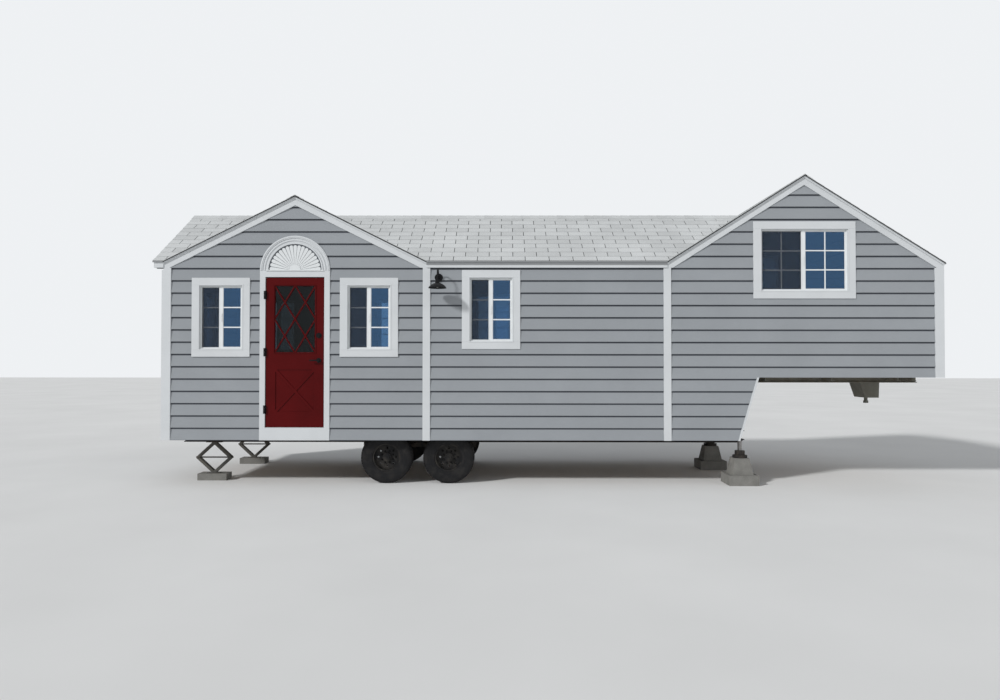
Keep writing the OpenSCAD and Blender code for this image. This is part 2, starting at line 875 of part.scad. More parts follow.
module door_leaf() color(door_red) placed() difference() {
    union() {
        difference() {
            box(entry_mid - door_w / 2, entry_mid + door_w / 2, -leaf_out, -leaf_in,
                door_bottom, door_top);
            upright(-leaf_out - eps, -leaf_in + eps) pane_place() square([pane_w, pane_h]);
            upright(-leaf_out - eps, -leaf_out + panel_sink) panel_place()
                square([pane_w, panel_h]);
        }
        upright(-leaf_out, -leaf_out + panel_sink) panel_place() {
            intersection() {
                square([pane_w, panel_h]);
                union() {
                    bar([0, 0], [pane_w, panel_h], cross_w);
                    bar([0, panel_h], [pane_w, 0], cross_w);
                }
            }
            bead(pane_w, panel_h, cross_w / 2);
        }
        upright(-leaf_out - bead_t, -leaf_out) pane_place() translate([-bead_w, -bead_w])
            bead(pane_w + 2 * bead_w, pane_h + 2 * bead_w, bead_w);
    }
    translate([lever_x, 0, door_bottom + lever_up]) rotate([90, 0, 0])
        cylinder(r = spindle_hole_r, h = tall);
}

glass_y = -leaf_out + glass_set;

module door_glass() color([0.35, 0.42, 0.46, 0.6]) placed()
    upright(glass_y, glass_y + glass_t) pane_place() square([pane_w, pane_h]);

// The lattice: long diagonals over the whole pane and short ones round its middle
module door_lattice() color(door_red) placed() upright(-leaf_out + lattice_set, glass_y) pane_place()
    intersection() {
        square([pane_w, pane_h]);
        union() {
            bar([0, 0], [pane_w, pane_h], lattice_w);
            bar([0, pane_h], [pane_w, 0], lattice_w);
            for (x = [0, pane_w], z = [0, pane_h])
                bar([x, pane_h / 2], [pane_w / 2, z], lattice_w);
            bead(pane_w, pane_h, lattice_w / 2);
        }
    }

module disc(x, z, r, y0, y1) translate([x, y1, z]) rotate([90, 0, 0]) cylinder(r = r, h = y1 - y0);

module door_roses() color(steel_black) placed() {
    lever_z = door_bottom + lever_up;
    lock_z = door_bottom + lock_up;
    difference() {
        union() {
            disc(lever_x, lever_z, rose_r, -leaf_out - rose_t, -leaf_out);
            disc(lever_x, lever_z, rose_r, -leaf_in, -leaf_in + rose_t);
        }
        disc(lever_x, lever_z, lever_spindle_r + lever_clear, -leaf_out - rose_t - eps,
            -leaf_in + rose_t + eps);
    }
    disc(lever_x, lock_z, rose_r * 1.12, -leaf_out - lock_t, -leaf_out);
    disc(lever_x, lock_z, rose_r * 0.6, -leaf_out - lock_t - rose_t, -leaf_out - lock_t);
    disc(lever_x, lock_z, rose_r, -leaf_in, -leaf_in + lock_t);
    box(lever_x - thumb_w / 2, lever_x + thumb_w / 2, -leaf_in + lock_t,
        -leaf_in + lock_t + thumb_h / 2, lock_z - thumb_h / 2, lock_z + thumb_h / 2);
}

// One handle: a flat bar from the spindle towards the hinges, with round ends
module handle(y0, y1) upright(y0, y1) translate([lever_x, door_bottom + lever_up]) {
    translate([-lever_len, -handle_w / 2]) square([lever_len, handle_w]);
    translate([-lever_len, 0]) circle(r = handle_w / 2);
    circle(r = handle_w * 0.75);
}

module door_lever() color(steel_black) placed() {
    disc(lever_x, door_bottom + lever_up, lever_spindle_r, -leaf_out - lever_out,
        -leaf_in + lever_out);
    handle(-leaf_out - lever_out, -leaf_out - lever_out + handle_t);
    handle(-leaf_in + lever_out - handle_t, -leaf_in + lever_out);
}

// The lamp: plate, stub, a bend up, a half turn over and a drop to the shade
plate_out = 22;
stub_out = 42;
bend_r = 30;
over_r = (lamp_reach - stub_out - bend_r) / 2;
arm_drop = 98;
arm_top = lamp_z + bend_r;
shade_low = arm_top - arm_drop - shade_h;
shade_neck_h = 22;
socket_h = 26;
dome_h = shade_h - shade_neck_h;
dome_r = (shade_r * shade_r + dome_h * dome_h) / (2 * dome_h);
shade_neck_r = 30;

// Drawn with x out from the wall and y up
module arm_plane() translate([lamp_x, -half_w, 0]) rotate([90, 0, -90]) children();

module arm_turn(u, v, r, from, sweep) arm_plane() translate([u, v, 0]) rotate([0, 0, from])
    rotate_extrude(angle = sweep) translate([r, 0]) circle(r = arm_r, $fn = 32);

module shade_profile() {
    intersection() {
        translate([0, dome_h - dome_r]) difference() {
            circle(r = dome_r);
            circle(r = dome_r - shade_t);
        }
        square([shade_r * 2, dome_h]);
    }
    translate([0, dome_h - shade_t]) square([shade_neck_r, shade_h - dome_h + shade_t]);
}

module wall_lamp() color(steel_black) placed() {
    disc(lamp_x, lamp_z, plate_r, -half_w - plate_out, -half_w);
    disc(lamp_x, lamp_z, arm_r, -half_w - stub_out, -half_w - plate_out);
    arm_turn(stub_out, arm_top, bend_r, 270, 90);
    arm_turn(stub_out + bend_r + over_r, arm_top, over_r, 0, 180);
    translate([lamp_x, -half_w - lamp_reach, shade_low]) {
        translate([0, 0, shade_h - eps]) cylinder(r = arm_r, h = arm_drop + eps);
        rotate_extrude() shade_profile();
        translate([0, 0, dome_h - socket_h]) cylinder(r = shade_neck_r * 0.6, h = socket_h);
    }
}

// The chassis

function riser_x(z) = kick_x(z) + riser_d / cos(kick_lean);

// The rail's side view, taken in by t all round but open at both ends
module rail_shape(t, ends) {
    side = t / cos(kick_lean);
    low = rail_low + t;
    raised_low = raised_rail_low + t;
    high = deck_low - t;
    raised_high = raised_deck_low - t;
    polygon([
        [wall_t - ends, low],
        [riser_x(low) - side, low],
        [riser_x(raised_low) - side, raised_low],
        [total_len - wall_t + ends, raised_low],
        [total_len - wall_t + ends, raised_high],
        [kick_x(raised_high) + side, raised_high],
        [kick_x(high) + side, high],
        [wall_t - ends, high]
    ]);
}

module rail(y) translate([0, y, 0]) difference() {
    upright(-rail_w / 2, rail_w / 2) rail_shape(0, 0);
    upright(-rail_w, -steel_t / 2) rail_shape(steel_t, eps);
    upright(steel_t / 2, rail_w) rail_shape(steel_t, eps);
}

module front_rail() color(steel_black) placed() rail(-rail_y);

module back_rail() color(steel_black) placed() rail(rail_y);

// A channel across the chassis, open towards the nose
module channel(x, w, y0, y1, z0, z1) difference() {
    box(x - w / 2, x + w / 2, y0, y1, z0, z1);
    box(x - w / 2 + steel_t, x + w, y0 - eps, y1 + eps, z0 + steel_t, z1 - steel_t);
}

rail_in = rail_y - rail_w / 2;
rail_out = rail_y + rail_w / 2;
cross_w_steel = 50;
cross_count = 9;
cross_inset = 250;
cross_first = wall_t + cross_inset;
cross_step = (pier_x - cross_first) / cross_count;
raised_count = 3;
raised_inset = 130;
raised_first = kick_x(raised_deck_low) + raised_inset;

// The pin box, measured from the king pin: its top reaches further than its floor
box_top_rear = 187;
box_low_rear = 92;
box_top_nose = 120;
box_low_nose = 109;
raised_last = pin_x_nose - box_top_nose;
raised_step = (raised_last - raised_first) / (raised_count - 1);
nose_member_x = pin_x_nose + box_top_nose * 2 / 3;

// No wing of a cross-member stands where the wheels are
wheel_room = 60;
wheels_from = axle_xs[0] - tyre_d / 2 - wheel_room;
wheels_to = axle_xs[1] + tyre_d / 2 + wheel_room;

module cross_member(x, z, w, h, wings) {
    channel(x, w, -rail_in, rail_in, z - h, z);
    if (wings) both_sides() channel(x, w, rail_out, in_w, z - h, z);
}

module cross_members() color(steel_black) placed() {
    for (i = [0 : cross_count - 1]) {
        x = cross_first + i * cross_step;
        cross_member(x, deck_low, cross_w_steel, cross_h, x < wheels_from || x > wheels_to);
    }
    cross_member(pier_x, deck_low, header_w, deck_low - skirt_z, true);
    for (i = [0 : raised_count - 1])
        cross_member(raised_first + i * raised_step, raised_deck_low, cross_w_steel, cross_h, true);
    cross_member(nose_member_x, raised_deck_low, cross_w_steel, cross_h, true);
}

// The pin box hangs under the raised cross-members, its rear side slanted
pin_box_top = raised_deck_low - cross_h;
pin_box_low = pin_box_top - pin_box_h;
neck_h = 50;
collar_h = 36;

module pin_box() color(steel_black) placed() {
    difference() {
        upright(-pin_box_w / 2, pin_box_w / 2) polygon([
            [pin_x_nose - box_top_rear, pin_box_top],
            [pin_x_nose - box_low_rear, pin_box_low],
            [pin_x_nose + box_low_nose, pin_box_low],
            [pin_x_nose + box_top_nose, pin_box_top]
        ]);
        upright(-pin_box_w / 2 + steel_t, pin_box_w / 2 - steel_t) polygon([
            [pin_x_nose - box_top_rear + steel_t, pin_box_top + eps],
            [pin_x_nose - box_low_rear + steel_t, pin_box_low + steel_t],
            [pin_x_nose + box_low_nose - steel_t, pin_box_low + steel_t],
            [pin_x_nose + box_top_nose - steel_t, pin_box_top + eps]
        ]);
    }
    translate([pin_x_nose, 0, pin_box_low - neck_h]) cylinder(r = neck_r, h = neck_h);
    translate([pin_x_nose, 0, pin_box_low - neck_h - collar_h]) cylinder(r = collar_r, h = collar_h);
}

// Axles and springs

end_play = 2;
drum_gap = 12;
drum_t = 6;
spindle_end = wheel_y + hub_half - cap_t - end_play;
tube_end = wheel_y - hub_half - drum_gap;
seat_h = 12;
seat_w = 100;
tie_w = 112;
tie_t = 10;
tie_out = 16;
bolt_r = 6;
bolt_end = 14;

module axles() color(steel_black) placed() for (x = axle_xs) {
    disc(x, wheel_z, axle_r, -tube_end, tube_end);
    disc(x, wheel_z, spindle_r, -spindle_end, spindle_end);
    both_sides() disc(x, wheel_z, axle_r * 3, -tube_end, -tube_end + drum_t);
}

leaf_mid_z = wheel_z + axle_r + seat_h + (leaf_count - 0.5) * spring_leaf_t;
leaf_sag = eye_z - leaf_mid_z;
half_spring = spring_len / 2;
leaf_r = (half_spring * half_spring + leaf_sag * leaf_sag) / (2 * leaf_sag);
leaf_turn = asin(half_spring / leaf_r);
leaf_top = leaf_mid_z + spring_leaf_t / 2;
tie_low = wheel_z - axle_r - tie_t;

// Each leaf is shorter than the one above it
module leaf(i) {
    turn = leaf_turn * (1 - i * 0.22);
    rotate([90, 0, 0]) rotate([0, 0, 270 - turn]) rotate_extrude(angle = 2 * turn)
        translate([leaf_r - spring_leaf_t / 2 + i * spring_leaf_t, -spring_w / 2])
            square([spring_leaf_t, spring_w]);
}

module leaf_spring(x) {
    translate([x, 0, leaf_mid_z + leaf_r]) for (i = [0 : leaf_count - 1]) leaf(i);
    for (side = [-1, 1])
        disc(x + side * half_spring, eye_z, eye_r, -spring_w / 2, spring_w / 2);
    difference() {
        box(x - seat_w / 2, x + seat_w / 2, -spring_w / 2, spring_w / 2,
            wheel_z + axle_r / 4, wheel_z + axle_r + seat_h);
        disc(x, wheel_z, axle_r, -spring_w, spring_w);
    }
    for (z = [leaf_top - eps, tie_low])
        box(x - tie_w / 2, x + tie_w / 2, -spring_w / 2 - tie_out, spring_w / 2 + tie_out,
            z, z + tie_t);
    for (side = [-1, 1], end = [-1, 1])
        translate([x + side * (tie_w / 2 - tie_t), end * (spring_w + tie_out) / 2,
            tie_low - bolt_end])
            cylinder(r = bolt_r, h = leaf_top - tie_low + tie_t + 2 * bolt_end, $fn = 24);
}

// Plates on both sides of a spring's eye, up to the rail
hanger_t = 8;
hanger_w = 64;
eye_edge = 26;
shackle_play = 2;
eye_bolt_r = 8;
eye_bolt_half = spring_w / 2 + 2 * hanger_t + shackle_play;

module hanger(x) {
    for (y = [-spring_w / 2 - hanger_t, spring_w / 2])
        box(x - hanger_w / 2, x + hanger_w / 2, y, y + hanger_t, eye_z - eye_edge, rail_low);
    disc(x, eye_z, eye_bolt_r, -eye_bolt_half, eye_bolt_half);
}

module equalizer() {
    mid = (axle_xs[0] + axle_xs[1]) / 2;
    half_gap = (axle_gap - spring_len) / 2;
    reach = half_gap + eye_edge;
    inner_y = spring_w / 2 + shackle_play;
    for (y = [-inner_y - hanger_t, inner_y]) upright(y, y + hanger_t) polygon([
        [mid - reach, eye_z - eye_edge],
        [mid + reach, eye_z - eye_edge],
        [mid + reach, eye_z + eye_r / 2],
        [mid + hanger_w / 2, rail_low - hanger_t],
        [mid - hanger_w / 2, rail_low - hanger_t],
        [mid - reach, eye_z + eye_r / 2]
    ]);
    box(mid - hanger_w / 2, mid + hanger_w / 2, -inner_y - hanger_t, inner_y + hanger_t,
        rail_low - eye_r, rail_low);
    for (side = [-1, 1])
        disc(mid + side * half_gap, eye_z, eye_bolt_r, -eye_bolt_half, eye_bolt_half);
}

module leaf_springs() color(steel_black) placed() both_sides() translate([0, -rail_y, 0]) {
    for (x = axle_xs) leaf_spring(x);
    hanger(axle_xs[0] - half_spring);
    hanger(axle_xs[1] + half_spring);
    equalizer();
}

// Wheels, drawn round their own middle with the outside towards -y

// Where the tyre's round shoulders meet the rim, and so half the rim's width
shoulder_bulge = 10;
groove_w = 8;
groove_gap = 36;
flange_t = 6;
disc_y = 12;
hub_cap_h = 18;
hand_hole_r = 13;
shoulder_r = tyre_w / 2 + shoulder_bulge;
tyre_mid_r = (rim_d + tyre_d) / 4;
rim_half = sqrt(shoulder_r * shoulder_r - pow(tyre_mid_r - rim_d / 2, 2));

module tyre() rotate([90, 0, 0]) rotate_extrude() difference() {
    intersection() {
        translate([rim_d / 2, -tyre_w / 2]) square([(tyre_d - rim_d) / 2, tyre_w]);
        translate([tyre_mid_r, 0]) circle(r = shoulder_r);
    }
    for (side = [-1, 1])
        translate([0, side > 0 ? rim_half : -tyre_w]) square([rim_d / 2 + bead_r, tyre_w - rim_half]);
    for (groove = [-1.5, -0.5, 0.5, 1.5])
        translate([tyre_d / 2 - groove_w, groove * groove_gap - groove_w / 2])
            square([2 * groove_w, groove_w]);
}

module rim() rotate([90, 0, 0]) difference() {
    union() {
        rotate_extrude() {
            translate([rim_d / 2 - rim_t, -rim_half]) square([rim_t, 2 * rim_half]);
            for (side = [-1, 1])
                translate([rim_d / 2 - rim_t, side * (rim_half + flange_t / 2) - flange_t / 2])
                    square([rim_t + bead_r, flange_t]);
            translate([0, disc_y]) square([rim_d / 2 - rim_t / 2, rim_t]);
        }
        translate([0, 0, -hub_half]) cylinder(r = hub_r, h = 2 * hub_half);
        translate([0, 0, hub_half - eps]) cylinder(r = hub_r * 0.6, h = hub_cap_h);
    }
    translate([0, 0, -hub_half - eps])
        cylinder(r = spindle_r + hub_clear, h = 2 * hub_half - cap_t + eps);
    for (i = [0 : 7]) rotate([0, 0, i * 45]) translate([rim_d * 0.34, 0, 0])
        cylinder(r = hand_hole_r, h = disc_y * 3, $fn = 24);
}

module at_wheel(i, side) translate([axle_xs[i], side * wheel_y, wheel_z])
    rotate([0, 0, side > 0 ? 180 : 0]) children();

module rim_front_1() color(steel_black) placed() at_wheel(0, -1) rim();
module tyre_front_1() color([0.05, 0.05, 0.05]) placed() at_wheel(0, -1) tyre();
module rim_front_2() color(steel_black) placed() at_wheel(1, -1) rim();
module tyre_front_2() color([0.05, 0.05, 0.05]) placed() at_wheel(1, -1) tyre();
module rim_back_1() color(steel_black) placed() at_wheel(0, 1) rim();
module tyre_back_1() color([0.05, 0.05, 0.05]) placed() at_wheel(0, 1) tyre();
module rim_back_2() color(steel_black) placed() at_wheel(1, 1) rim();
module tyre_back_2() color([0.05, 0.05, 0.05]) placed() at_wheel(1, 1) tyre();

// Jacks and piers

rear_block_h = 92;
rear_block_l = 406;
rear_block_w = 203;
pier_block_l = 397;
pier_block_h = 135;
stone_h = 220;
stone_low_w = 286;
stone_top_w = 200;
link_w = 36;
link_t = 8;
link_y = 34;
foot_w = 180;
foot_d = 100;
head_w = 220;
head_d = 80;
bracket_w = 60;
bracket_h = 32;
knee_r = 13;
screw_r = 10;
screw_end = 30;

// A bar with round ends between two points in the x-z plane
module link(a, b, w, y0, y1) {
    run = b - a;
    upright(y0, y1) translate(a) rotate([0, 0, atan2(run[1], run[0])]) {
        translate([0, -w / 2]) square([norm(run), w]);
        for (x = [0, norm(run)]) translate([x, 0]) circle(r = w / 2, $fn = 32);
    }
}

// An open scissor jack standing on its block and reaching the rail
module scissor_jack() {
    pivot_in = link_t + link_w / 2;
    foot_z = rear_block_h + pivot_in;
    head_z = rail_low - pivot_in;
    mid_z = (foot_z + head_z) / 2;
    knee = (rear_jack_w - link_w) / 2;
    pivot_x = bracket_w / 3;
    box(-foot_w / 2, foot_w / 2, -foot_d / 2, foot_d / 2, rear_block_h, rear_block_h + link_t);
    box(-bracket_w / 2, bracket_w / 2, -link_y, link_y, rear_block_h + link_t - eps,
        rear_block_h + link_t + bracket_h);
    box(-head_w / 2, head_w / 2, -head_d / 2, head_d / 2, rail_low - link_t, rail_low);
    box(-bracket_w / 2, bracket_w / 2, -link_y, link_y, rail_low - link_t - bracket_h,
        rail_low - link_t + eps);
    for (side = [-1, 1]) {
        for (y = [-link_y, link_y - link_t], z = [foot_z, head_z])
            link([side * pivot_x, z], [side * knee, mid_z], link_w, y, y + link_t);
        disc(side * knee, mid_z, knee_r, -link_y - link_t, link_y + link_t);
    }
    translate([-knee - screw_end, 0, mid_z]) rotate([0, 90, 0])
        cylinder(r = screw_r, h = 2 * (knee + screw_end));
}

module rear_jacks() color(steel_black) placed() both_sides()
    translate([rear_jack_x, -rail_y, 0]) scissor_jack();

module pier_stone() intersection() {
    upright(-stone_low_w, stone_low_w) stone_side();
    rotate([0, 0, 90]) upright(-stone_low_w, stone_low_w) stone_side();
}

module stone_side() polygon([
    [-stone_low_w / 2, 0],
    [stone_low_w / 2, 0],
    [stone_top_w / 2, stone_h],
    [-stone_top_w / 2, stone_h]
]);

module blocks() color(concrete) placed() {
    both_sides() box(rear_jack_x - rear_block_l / 2, rear_jack_x + rear_block_l / 2,
        -rail_y - rear_block_w / 2, -rail_y + rear_block_w / 2, 0, rear_block_h);
    for (y = pier_ys) translate([pier_x, y, 0]) {
        box(-pier_block_l / 2, pier_block_l / 2, -pier_block_l / 2, pier_block_l / 2, 0, pier_block_h);
        translate([0, 0, pier_block_h]) pier_stone();
    }
}

// A screw jack: foot plate, nut, screw and head, from the stone up to the header
pier_foot_r = 98;
pier_foot_t = 36;
pier_nut_r = 66;
pier_nut_h = 60;
pier_screw_r = 28;
pier_head_r = 44;
pier_head_t = 12;

module pier_jacks() color(steel_black) placed() for (y = pier_ys) translate([pier_x, y, 0]) {
    low = pier_block_h + stone_h;
    nut_top = low + pier_foot_t + pier_nut_h;
    translate([0, 0, low]) cylinder(r = pier_foot_r, h = pier_foot_t);
    translate([0, 0, low + pier_foot_t]) cylinder(r = pier_nut_r, h = pier_nut_h);
    translate([0, 0, nut_top]) cylinder(r = pier_screw_r, h = skirt_z - nut_top);
    translate([0, 0, skirt_z - pier_head_t]) cylinder(r = pier_head_r, h = pier_head_t);
}

front_wall_left();
front_wall_over_door();
front_wall_under_door();
front_wall_right();
front_wall_middle();
front_wall_loft();
back_wall_entry();
back_wall_middle();
back_wall_loft();
rear_end_wall();
nose_wall();
kick_wall();
floor_deck();
loft_deck();
main_roof_front();
main_roof_back();
entry_roof();
loft_roof_rear_slope();
loft_roof_nose_slope();
ridge_caps();
rake_boards();
eave_fascias();
corner_boards();
window_frames();
window_casings();
window_glass();
door_frame();
door_surround();
fan_light();
frame_hinges();
door_leaf();
door_glass();
door_lattice();
door_hinges();
door_roses();
door_lever();
wall_lamp();
front_rail();
back_rail();
cross_members();
pin_box();
axles();
leaf_springs();
rear_jacks();
blocks();
pier_jacks();
rim_front_1();
tyre_front_1();
rim_front_2();
tyre_front_2();
rim_back_1();
tyre_back_1();
rim_back_2();
tyre_back_2();
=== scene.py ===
"""Looks of a tiny house on a gooseneck trailer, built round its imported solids.

Lengths are in metres. Pieces are drawn in the house's own frame, where x runs from the
rear end wall to the nose, y from the front (-) to the back (+) and z up from the ground,
and each object carries the offset to the row frame.
"""
import json
import math
import random

import bmesh
import bpy
from mathutils import Matrix, Vector


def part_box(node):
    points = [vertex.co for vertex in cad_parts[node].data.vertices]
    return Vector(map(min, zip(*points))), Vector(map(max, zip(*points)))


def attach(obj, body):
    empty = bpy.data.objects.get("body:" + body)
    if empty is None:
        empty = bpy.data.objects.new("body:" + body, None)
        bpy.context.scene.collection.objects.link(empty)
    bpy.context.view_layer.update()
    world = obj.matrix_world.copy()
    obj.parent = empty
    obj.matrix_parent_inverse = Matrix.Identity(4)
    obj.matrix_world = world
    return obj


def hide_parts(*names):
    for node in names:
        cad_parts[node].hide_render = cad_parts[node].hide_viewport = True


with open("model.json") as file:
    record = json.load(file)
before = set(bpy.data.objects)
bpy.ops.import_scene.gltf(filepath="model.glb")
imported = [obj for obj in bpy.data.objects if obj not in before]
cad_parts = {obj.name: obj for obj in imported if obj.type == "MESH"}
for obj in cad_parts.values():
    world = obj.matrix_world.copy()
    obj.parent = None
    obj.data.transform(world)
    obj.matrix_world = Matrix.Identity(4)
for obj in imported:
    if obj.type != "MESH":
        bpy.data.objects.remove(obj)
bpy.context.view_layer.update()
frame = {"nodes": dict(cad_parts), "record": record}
nodes = frame["nodes"]
rng = random.Random(7)

# The house, as the source has it
ENTRY_LEN, MIDDLE_LEN, LOFT_LEN = 3.55, 3.24, 3.685
HALF_W, WALL_T, SKIRT_Z, FLOOR_Z = 1.25, 0.1, 0.6, 0.77
GOOSENECK_LEN, RAISED_Z, KICK_LEAN = 2.458, 1.45, math.radians(16.8)
EAVE_Z, ROOF_OVER, RAKE_OVER, ROOF_T, SKIN_T, DRIP = 3.01, 0.05, 0.14, 0.11, 0.014, 0.014
MAIN_PITCH, LOFT_PITCH = math.radians(33.7), math.radians(32.3)
ENTRY_RIDGE_UP = 0.018
BOARD_W, BOARD_T, RAKE_H, EDGE_W, FASCIA_H = 0.1, 0.024, 0.098, 0.026, 0.078
WINDOW, LOFT_WINDOW = (0.59, 0.87), (1.176, 0.844)
ENTRY_WINDOW_DX, MIDDLE_WINDOW_DX = 1.0, 0.87
ENTRY_WINDOW_Z, MIDDLE_WINDOW_Z, LOFT_WINDOW_Z = 2.255, 2.361, 3.03
CASING_W, FRAME_W, SASH_W, MEET_W = 0.098, 0.016, 0.016, 0.04
SASH_T, SASH_SET, SASH_SPACE = 0.024, 0.008, 0.004
DOOR_W, DOOR_H, DOOR_GAP = 0.78, 2.013, 0.008
DOOR_CASING_W, HEAD_H, ARCH_W = 0.074, 0.086, 0.112
LAMP_DX, LAMP_REACH, SHADE_R = 0.165, 0.215, 0.122
WHEEL_Z, WHEEL_XS, WHEEL_Y = 0.35, (2.991, 3.84), 1.0225
PIER_BACK, PIER_YS = 2.665, (-1.09, 0.305)

# Lap siding: the height of a course, and of the lowest one
COURSE, FIRST_COURSE = 0.1656, 0.169

MIDDLE_X = ENTRY_LEN
LOFT_X = MIDDLE_X + MIDDLE_LEN
TOTAL = LOFT_X + LOFT_LEN
ENTRY_MID, LOFT_MID = ENTRY_LEN / 2, LOFT_X + LOFT_LEN / 2
KICK_TOP_X = TOTAL - GOOSENECK_LEN
OVER_Y = HALF_W + ROOF_OVER
NOSE_REACH = BOARD_T + DRIP
MAIN_RISE = OVER_Y * math.tan(MAIN_PITCH)
ENTRY_PITCH = math.atan((MAIN_RISE + ENTRY_RIDGE_UP) / ENTRY_MID)
PEAK_IN_ENTRY = MAIN_RISE / math.tan(ENTRY_PITCH)
PEAK_IN_LOFT = MAIN_RISE / math.tan(LOFT_PITCH)
DOOR_BOTTOM = FLOOR_Z + DOOR_GAP
DOOR_TOP = DOOR_BOTTOM + DOOR_H
HEAD_TOP = DOOR_TOP + DOOR_GAP + HEAD_H
OPENING_HALF = DOOR_W / 2 + DOOR_GAP
SURROUND_HALF = OPENING_HALF + DOOR_CASING_W
LAMP_FRONT = HALF_W + LAMP_REACH + SHADE_R
OFFSET = Vector((-(TOTAL + NOSE_REACH - RAKE_OVER) / 2, -(OVER_Y - LAMP_FRONT) / 2, 0))
X_AXIS, Y_AXIS, Z_UP = Vector((1, 0, 0)), Vector((0, 1, 0)), Vector((0, 0, 1))

# The gables: name, middle, half span, pitch, and how far in from its eave the main ridge meets it
GABLES = (
    ("entry", ENTRY_MID, ENTRY_LEN / 2, ENTRY_PITCH, PEAK_IN_ENTRY),
    ("loft", LOFT_MID, LOFT_LEN / 2, LOFT_PITCH, PEAK_IN_LOFT),
)


def main_z(y, drop=0):
    """The height of the main roof at a y, drop under its plane."""
    return EAVE_Z + (OVER_Y - abs(y)) * math.tan(MAIN_PITCH) - drop / math.cos(MAIN_PITCH)


FASCIA_LOW = main_z(OVER_Y - DRIP, SKIN_T) - FASCIA_H


def add(name, data):
    """A new object in the scene."""
    made = bpy.data.objects.new(name, data)
    bpy.context.scene.collection.objects.link(made)
    return made


def moved(x, y, z):
    return Matrix.Translation((x, y, z))


# Camera

CAMERA_PLACE = Vector((4.5909, -10.8736, 1.6686))
CAMERA_YAW, CAMERA_PITCH, CAMERA_ROLL = -0.3, 0.881, 0.045
FOCAL_PX, PICTURE_PX, SENSOR_W = 714.5, 1000, 36


def make_camera():
    """The photograph's own view: eye height, square on to the long side."""
    yaw, pitch, roll = (math.radians(a) for a in (CAMERA_YAW, CAMERA_PITCH, CAMERA_ROLL))
    ahead = Vector((math.sin(yaw) * math.cos(pitch), math.cos(yaw) * math.cos(pitch), math.sin(pitch)))
    right = ahead.cross(Z_UP).normalized()
    up = right.cross(ahead)
    right, up = (
        right * math.cos(roll) + up * math.sin(roll),
        up * math.cos(roll) - right * math.sin(roll),
    )
    data = bpy.data.cameras.new("camera")
    data.sensor_width = SENSOR_W
    data.lens = SENSOR_W * FOCAL_PX / PICTURE_PX
    camera = add("camera", data)
    turn = Matrix((right, up, -ahead)).transposed().to_4x4()
    camera.matrix_world = Matrix.Translation(CAMERA_PLACE + OFFSET) @ turn
    bpy.context.scene.camera = camera


make_camera()


# Materials

class Paint:
    """A Principled material whose colour, roughness and bump come from nodes."""

    def __init__(self, name, rough=0.5, metallic=0.0, **sockets):
        self.mat = bpy.data.materials.new(name)
        self.mat.use_nodes = True
        self.tree = self.mat.node_tree
        self.shader = self.tree.nodes["Principled BSDF"]
        self.set(Roughness=rough, Metallic=metallic, **sockets)
        self.place = self.node("ShaderNodeTexCoord").outputs["Object"]
        self.height = None

    def put(self, socket, value):
        """Links an output to a socket, or sets the socket's value; colours come without alpha."""
        if isinstance(value, bpy.types.NodeSocket):
            self.tree.links.new(value, socket)
        else:
            socket.default_value = (*value, 1) if socket.type == "RGBA" else value

    def set(self, **sockets):
        for name, value in sockets.items():
            self.put(self.shader.inputs[name.replace("_", " ")], value)

    def node(self, kind, sockets=None, **settings):
        """A node with its settings, and with a value or an output put in each socket named."""
        made = self.tree.nodes.new(kind)
        for name, value in settings.items():
            setattr(made, name, value)
        for key, value in (sockets or {}).items():
            self.put(made.inputs[key], value)
        return made

    def axes(self):
        """The object's coordinates as X, Y and Z on their own."""
        return self.node("ShaderNodeSeparateXYZ", {0: self.place}).outputs

    def stretched(self, x, y, z):
        """The object's coordinates, scaled."""
        return self.node("ShaderNodeMapping", {"Vector": self.place, "Scale": (x, y, z)}).outputs[0]

    def noise(self, scale, detail=3.0, rough=0.55, place=None, distortion=0.0):
        return self.node("ShaderNodeTexNoise", {
            "Vector": place or self.place, "Scale": scale, "Detail": detail, "Roughness": rough,
            "Distortion": distortion,
        }).outputs["Fac"]

    def island(self):
        """A random value for each loose part of the mesh."""
        return self.node("ShaderNodeNewGeometry").outputs["Random Per Island"]

    def math(self, operation, a, b=0):
        return self.node("ShaderNodeMath", {0: a, 1: b}, operation=operation).outputs[0]

    def ramp(self, value, stops):
        """Colour stops over a value: [(place, colour), ...]."""
        made = self.node("ShaderNodeValToRGB", {"Fac": value})
        elements = made.color_ramp.elements
        while len(elements) < len(stops):
            elements.new(0.5)
        for element, (at, colour) in zip(elements, stops):
            element.position = at
            element.color = (*colour, 1)
        return made.outputs["Color"]

    def shades(self, value, base, low, high, start=0.3, end=0.7):
        """From one shade of a colour to another, over a value."""
        return self.ramp(value, [(start, shade(base, low)), (end, shade(base, high))])

    def mask(self, value, start, end):
        """Black up to one place of a value, white from another on."""
        return self.ramp(value, [(start, BLACK), (end, WHITE)])

    def blend(self, share, a, b, how="MIX"):
        """Two colours mixed; 6, 7 and 2 are the node's places for colours."""
        sockets = {"Factor": share, 6: a, 7: b}
        return self.node("ShaderNodeMix", sockets, data_type="RGBA", blend_type=how).outputs[2]

    def colour(self, output):
        self.set(Base_Color=output)

    def roughness(self, value, low, high):
        spread = self.node("ShaderNodeMapRange", {"Value": value, "To Min": low, "To Max": high})
        self.set(Roughness=spread.outputs["Result"])

    def bump(self, value, distance, strength=1.0):
        sockets = {"Height": value, "Distance": distance, "Strength": strength}
        if self.height is not None:
            sockets["Normal"] = self.height
        self.height = self.node("ShaderNodeBump", sockets).outputs["Normal"]
        self.set(Normal=self.height)


def shade(colour, factor):
    return tuple(min(1.0, c * factor) for c in colour)


